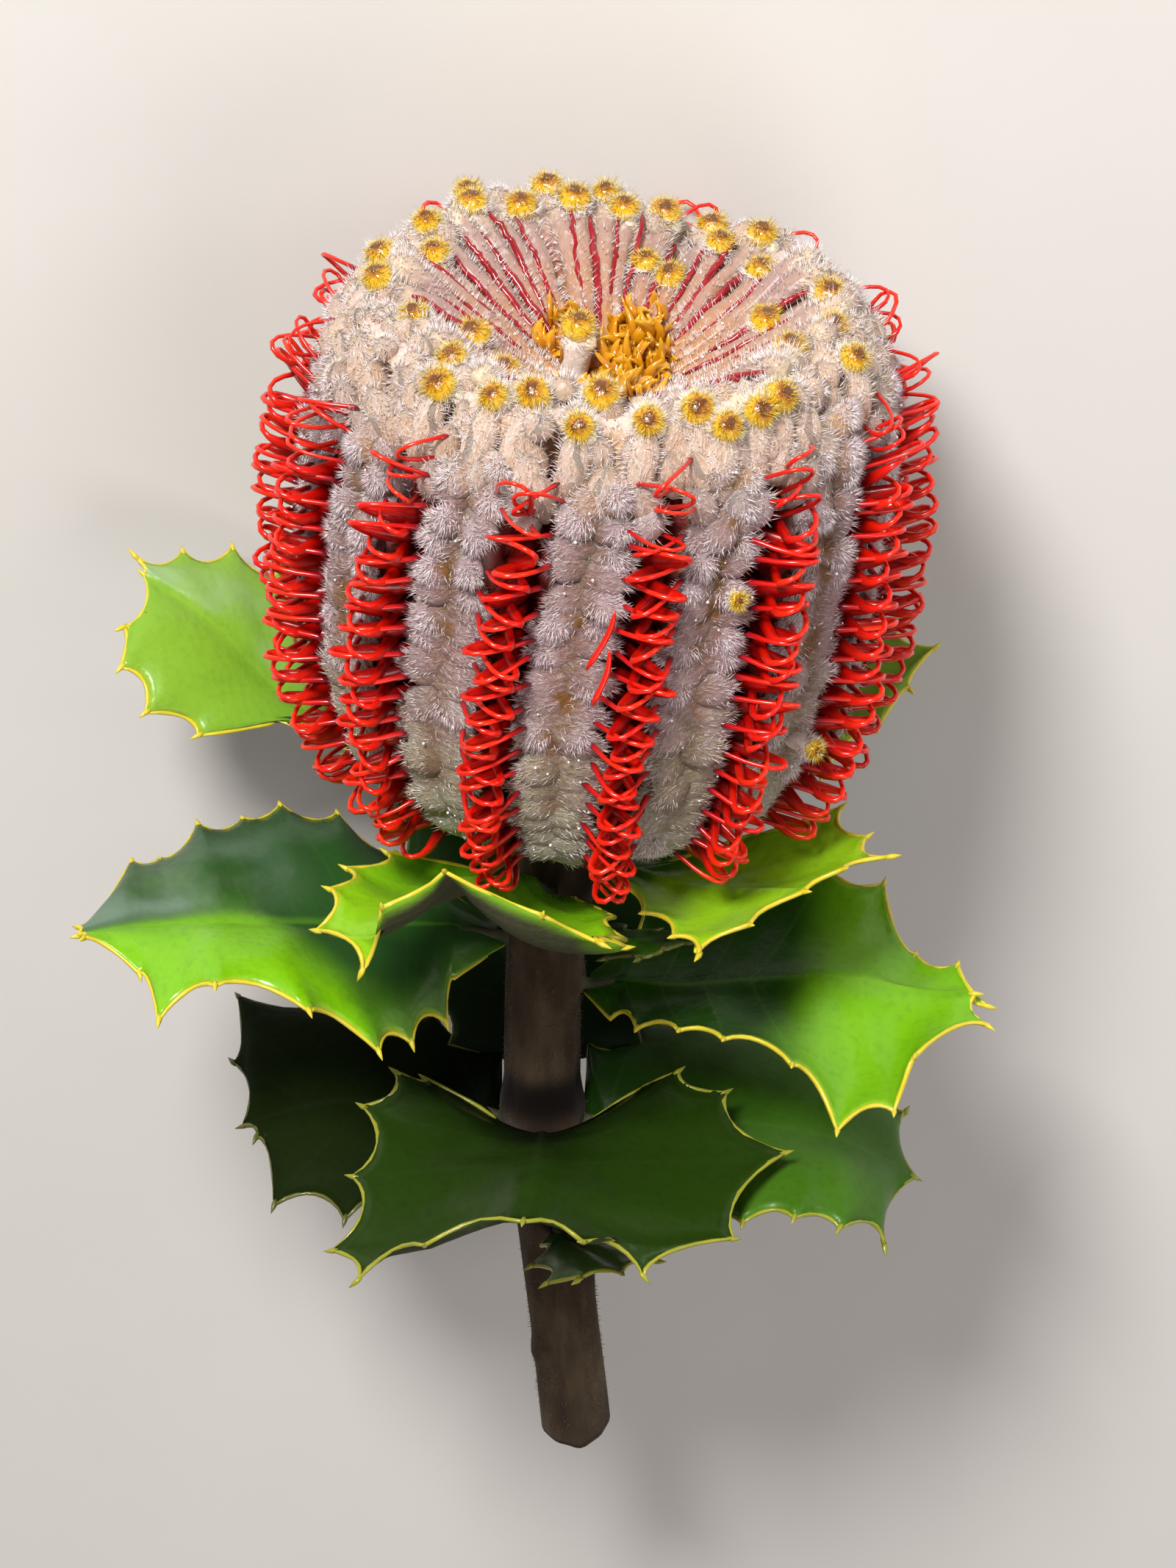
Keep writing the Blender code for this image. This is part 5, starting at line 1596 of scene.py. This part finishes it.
def marginRods(leaf, grid):                             # paths and radii of the edge, its spines, the stalk
    rows, columns = grid.shape[:2]
    normal = unit(np.cross(grid[1:, :-1] - grid[:-1, :-1], grid[:-1, 1:] - grid[:-1, :-1]).mean(1))
    normal = np.concatenate([normal, normal[-1:]])
    if normal[:, 2].sum() > 0:
        normal = -normal
    inside = grid + normal[:, None] * leafForm["blade"] * 0.5
    border = np.concatenate([inside[2:, 0], inside[-1, 1:-1], inside[2:, -1][::-1]])
    size = leafForm["margin"] * (1.0 + 0.15 * np.sin(np.arange(len(border)) * 1.7))
    size[:4] *= np.linspace(0.3, 1, 4)
    size[-4:] *= np.linspace(1, 0.3, 4)
    paths, radii = [border], [size]
    step = leafForm["perTooth"]
    toothRows = enumerate(range(leafForm["neck"] + step, rows, step))
    spines = [(inside[r, c], inside[r, c] - inside[r, c + (3 if c == 0 else -3)])
              for k, r in toothRows for c in (0, -1) if c == 0 or k >= leaf.get("bare", 0)]
    parts = 2 + len(leaf.get("tip", []))
    for k in range(1, parts):
        c = round(k * (columns - 1) / parts)
        spines.append((inside[-1, c], inside[-1, c] - inside[-5, c]))
    past, radius = np.array(leafForm["spine"]).T
    for place, way in spines:
        paths.append(place + unit(way) * past[:, None])
        radii.append(radius)
    foot, flat = leafFoot(leaf)
    paths.append(np.array([foot - flat * 1.6, foot - flat * 0.4, foot + normal[0] * 0.2,
                           inside[2, columns // 2], inside[5, columns // 2]]))
    radii.append(leafForm["stalk"])
    for path in paths:
        path[:, 1] = np.minimum(path[:, 1], axisHeight - 0.4)
    return paths, radii


def buildLeaf(node, leaf, margin, stalk):
    first, *others = node.split("_")
    name = first + "".join(part.capitalize() for part in others)
    grid, a, vein, reach = leafGrid(leaf)
    rows, columns = grid.shape[:2]
    clearPick()
    bpy.ops.mesh.primitive_grid_add(x_subdivisions=columns - 1, y_subdivisions=rows - 1, size=2.0)
    blade = bpy.context.object
    blade.name = name
    mesh = blade.data
    places = toWorld(grid)
    for key in ("across", "side", "vein", "reach"):
        mesh.attributes.new(key, "FLOAT", "POINT")
    layers = mesh.attributes
    for vert in mesh.vertices:
        column = round((vert.co.x + 1) / 2 * (columns - 1))
        row = round((vert.co.y + 1) / 2 * (rows - 1))
        vert.co = places[row, column]
        layers["across"].data[vert.index].value = abs(a[column])
        layers["side"].data[vert.index].value = a[column]
        layers["vein"].data[vert.index].value = vein[row, column]
        layers["reach"].data[vert.index].value = reach[row]
    mesh.update()
    if sum(face.normal.y * face.area for face in mesh.polygons) < 0:
        mesh.flip_normals()
    for look in (leafTop(name, leaf), leafUnder(name, leaf), margin):
        mesh.materials.append(look.material)
    pick(blade)
    thick = blade.modifiers.new("thickness", "SOLIDIFY")
    thick.thickness = leafForm["blade"] * mm
    thick.offset = -1.0
    thick.material_offset = 1
    thick.material_offset_rim = 2
    bpy.ops.object.modifier_apply(modifier=thick.name)
    bpy.ops.object.shade_smooth()
    paths, radii = marginRods(leaf, grid)
    shades = [0] * (len(paths) - 1) + [1]
    done(rods(name + "Margin", paths, radii, [margin, stalk], 6, shades), slotOf[node])
    done(blade, slotOf[node], node)


slotOf = {row["node"]: row["material_slot"] for row in frame["record"].get("subparts", [])}
margins = {name: mottled("hornMargin" + name, 260.0, 2.0, colors, {"Roughness": 0.35, "Coat Weight": 0.2})
           for name, colors in horns.items()}
leafStalk = mottled("leafStalk", 400.0, 2.0, ((0.03, 0.035, 0.012), (0.07, 0.07, 0.03)), {"Roughness": 0.7})

buildWool()
furs = furLooks()
woolSkin = woolLook()
sites = limbSites()
buildLimbs(sites, woolSkin, furs)
buildTufts(woolSkin, furs)
buildUnderHairs(furs)
print("wool done")
buildStyles()
buildLooseStrands()
print("styles done")
stands = budStands()
fingers = buildCrown(stands, furs)
buildHeart()
buildBuds(stands, furs)
buildDroplets(sites, fingers)
print("crown done")
buildStem()
buildStemDown()
for node, leaf in leaves.items():
    buildLeaf(node, leaf, margins[leaf.get("margin", "Yellow")], leafStalk)
print("stem and leaves done")


# stage: a pale floor, soft lights and the camera

stage = {
    "floor": (0.74, 0.73, 0.71),
    "sky": (0.93, 0.85, 0.80),
    "skyStrength": 0.225,
    # place, aim, size, watts, colour
    "lights": {"keyLight": ((-0.22, 0.82, 0.62), (0, 0.03, 0.04), 0.26, 12.2, (1.0, 0.97, 0.93)),
               "frontLight": ((0.35, -0.15, 0.85), (0, 0.0, 0.04), 0.45, 1.7, (1.0, 0.95, 0.93)),
               "sideLight": ((0.75, 0.45, 0.35), (0, 0.03, 0.04), 0.35, 1.2, (1.0, 1.0, 1.0))},
    "target": (-0.5, 0.0, -3.8),
    "distance": 700.0,
    "above": 34.0,                  # degrees that the camera stands above the head's side
    "sensor": 36.0,                 # of the long side
    "lens": 119.94,
}


def area(name, place, aim, size, power, color):
    data = bpy.data.lights.new(name, "AREA")
    data.shape = "DISK"
    data.size = size
    data.energy = power
    data.color = color
    lamp = bpy.data.objects.new(name, data)
    bpy.context.scene.collection.objects.link(lamp)
    lamp.location = place
    lamp.rotation_mode = "QUATERNION"
    lamp.rotation_quaternion = (Vector(aim) - Vector(place)).to_track_quat("-Z", "Y")


def buildStage():
    clearPick()
    bpy.ops.mesh.primitive_plane_add(size=6.0, location=(0, 0, 0))
    floor = bpy.context.object
    floor.name = "floor"
    paper = mottled("palePaper", 60.0, 3.0, (shaded(stage["floor"], 0.97), stage["floor"]),
                    {"Roughness": 0.9, "Specular IOR Level": 0.2})
    floor.data.materials.append(paper.material)
    world = bpy.data.worlds.new("studio")
    world.use_nodes = True
    sky = world.node_tree.nodes["Background"]
    sky.inputs[0].default_value = (*stage["sky"], 1.0)
    sky.inputs[1].default_value = stage["skyStrength"]
    bpy.context.scene.world = world
    for name, light in stage["lights"].items():
        area(name, *light)
    camera = bpy.data.cameras.new("camera")
    eye = bpy.data.objects.new("camera", camera)
    bpy.context.scene.collection.objects.link(eye)
    bpy.context.scene.camera = eye
    above = math.radians(stage["above"])
    away = Vector((0.0, math.sin(above), math.cos(above)))
    up = Vector((0.0, math.cos(above), -math.sin(above)))
    aim = Vector(toWorld(stage["target"]))
    turned = Matrix((up.cross(away), up, away)).transposed().to_4x4()
    turned.translation = aim + away * stage["distance"] * mm
    eye.matrix_world = turned
    camera.sensor_width = stage["sensor"]
    camera.lens = stage["lens"]
    camera.clip_start = 0.01
    camera.clip_end = 20.0
    bpy.context.scene.view_settings.view_transform = "Standard"


buildStage()
